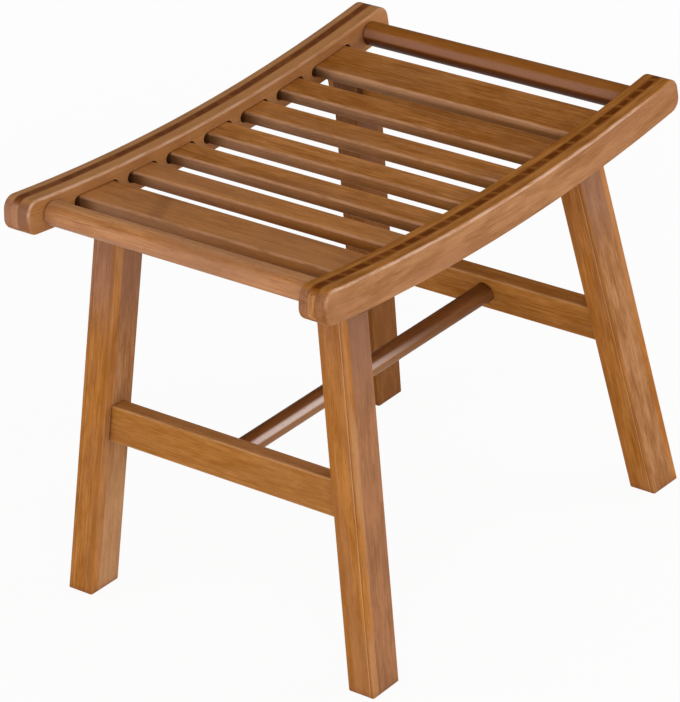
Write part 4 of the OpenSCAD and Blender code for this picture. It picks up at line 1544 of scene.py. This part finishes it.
class STOOL_OT_stage(Operator):
    """Set the pale floor, the soft studio light and the camera"""

    bl_idname = "stool.stage"
    bl_label = "Stage"
    bl_options = {"REGISTER", "UNDO"}

    def execute(self, context):
        scene = context.scene
        scene.view_settings.view_transform = "Standard"
        self.floor(scene)
        self.room(scene)
        for lamp in LAMPS:
            self.lamp(scene, *lamp)
        self.camera(scene)
        return {"FINISHED"}

    @staticmethod
    def floor(scene):
        """Pale and matt as light, and nearly white for rays from the camera and for mirrored ones"""
        mesh = bpy.data.meshes.new("studio_floor")
        corners = [(x * FLOOR_HALF, y * FLOOR_HALF, 0) for x, y in ((-1, -1), (1, -1), (1, 1), (-1, 1))]
        mesh.from_pydata(corners, [], [(0, 1, 2, 3)])
        floor = bpy.data.objects.new("studio_floor", mesh)
        floor.location.z = FLOOR_LEVEL
        scene.collection.objects.link(floor)
        made, nodes = new_material("Pale floor")
        matt = nodes.add("ShaderNodeBsdfDiffuse", {"Color": (0.90, 0.90, 0.90, 1.0)})
        white = nodes.add("ShaderNodeEmission", {"Color": (1.0, 1.0, 1.0, 1.0), "Strength": 1.0})
        place = nodes.add("ShaderNodeTexCoord").outputs["Object"]
        away = nodes.add("ShaderNodeVectorMath", {0: place}, operation="LENGTH").outputs["Value"]
        share = nodes.times(rays(nodes, "Camera", "Glossy", "Transmission"), nodes.span(away, 0.5, 2.2, 0.93, 1.0))
        both = nodes.add("ShaderNodeMixShader", {0: share, 1: matt.outputs[0], 2: white.outputs[0]})
        nodes.add("ShaderNodeOutputMaterial", {"Surface": both.outputs[0]})
        mesh.materials.append(made)

    @staticmethod
    def room(scene):
        """White where the camera looks; as light it is bright near the floor and dimmer overhead"""
        world = bpy.data.worlds.new("Studio room")
        world.use_nodes = True
        world.node_tree.nodes.clear()
        nodes = Nodes(world.node_tree)
        side, ahead, rise = nodes.parts(nodes.add("ShaderNodeTexCoord").outputs["Generated"])
        walls = nodes.span(rise, 0.10, 0.62, 0.80, 0.54)
        # A dark screen stands behind the left side, where the seat's top would mirror the room
        leftward = nodes.less(nodes.times(ahead, 0.75), nodes.times(side, 0.66))
        mirrored = nodes.times(nodes.span(rise, 0.24, 0.46, 0.90, 0.05),
                               nodes.span(leftward, 0.30, 0.62, 1.0, 0.12))
        both = nodes.mix(rays(nodes, "Glossy", "Transmission"), nodes.joined(walls, 0, 0),
                         nodes.joined(mirrored, 0, 0))
        strength = nodes.larger(rays(nodes, "Camera"), nodes.parts(both)[0])
        light = nodes.add("ShaderNodeBackground", {"Color": (1.0, 0.99, 0.98, 1.0), "Strength": strength})
        nodes.add("ShaderNodeOutputWorld", {"Surface": light.outputs[0]})
        scene.world = world

    @staticmethod
    def lamp(scene, name, toward, away, spread, watts, tone):
        """A soft box that hangs in one direction from the stool and shines on it"""
        data = bpy.data.lights.new(name, "AREA")
        data.shape = "RECTANGLE"
        data.size, data.size_y = spread
        data.energy = watts
        data.color = tone
        lamp = bpy.data.objects.new(name, data)
        scene.collection.objects.link(lamp)
        aim = Vector(LAMP_AIM)
        lamp.location = aim + Vector(toward).normalized() * away
        lamp.rotation_euler = (lamp.location - aim).to_track_quat("Z", "Y").to_euler()

    @staticmethod
    def camera(scene):
        data = bpy.data.cameras.new("Camera")
        data.sensor_width = CAMERA_SENSOR
        data.lens = CAMERA_LENS
        data.clip_start = 0.1
        data.clip_end = 60.0
        camera = bpy.data.objects.new("Camera", data)
        scene.collection.objects.link(camera)
        turn, rise, roll = (math.radians(degrees) for degrees in CAMERA_TURNS)
        back = Vector((math.sin(turn) * math.cos(rise), -math.cos(turn) * math.cos(rise), math.sin(rise)))
        right = (-back).cross(Vector((0, 0, 1))).normalized()
        up = right.cross(-back)
        rolled = (right * math.cos(roll) + up * math.sin(roll), up * math.cos(roll) - right * math.sin(roll), back)
        camera.matrix_world = (Matrix.Translation(Vector(CAMERA_AIM) + back * CAMERA_AWAY)
                               @ Matrix(rolled).transposed().to_4x4())
        scene.camera = camera


STEPS = (
    STOOL_OT_side_rails,
    STOOL_OT_seat_slats,
    STOOL_OT_end_bars,
    STOOL_OT_legs,
    STOOL_OT_cross_rails,
    STOOL_OT_stretchers,
    STOOL_OT_dowel_stretcher,
    STOOL_OT_seat_screws,
    STOOL_OT_stage,
)


class STOOL_PT_panel(Panel):
    """The stool's pieces and its stage"""

    bl_idname = "STOOL_PT_panel"
    bl_label = "Shower Stool"
    bl_space_type = "VIEW_3D"
    bl_region_type = "UI"
    bl_category = "Stool"

    def draw(self, context):
        layout = self.layout
        for step in STEPS:
            layout.operator(step.bl_idname)
        for group in (context.scene.stool_sizes, context.scene.stool_finish):
            box = layout.box()
            for key in group.__annotations__:
                box.prop(group, key)


CLASSES = (StoolSizes, StoolFinish, *STEPS, STOOL_PT_panel)


def register():
    for one in CLASSES:
        bpy.utils.register_class(one)
    bpy.types.Scene.stool_sizes = PointerProperty(type=StoolSizes)
    bpy.types.Scene.stool_finish = PointerProperty(type=StoolFinish)


def unregister():
    del bpy.types.Scene.stool_finish
    del bpy.types.Scene.stool_sizes
    for one in reversed(CLASSES):
        bpy.utils.unregister_class(one)


def main():
    register()
    bpy.ops.stool.side_rails()
    bpy.ops.stool.seat_slats()
    bpy.ops.stool.end_bars()
    bpy.ops.stool.legs()
    bpy.ops.stool.cross_rails()
    bpy.ops.stool.stretchers()
    bpy.ops.stool.dowel_stretcher()
    bpy.ops.stool.seat_screws()
    bpy.ops.stool.stage()


if __name__ == "__main__":
    main()
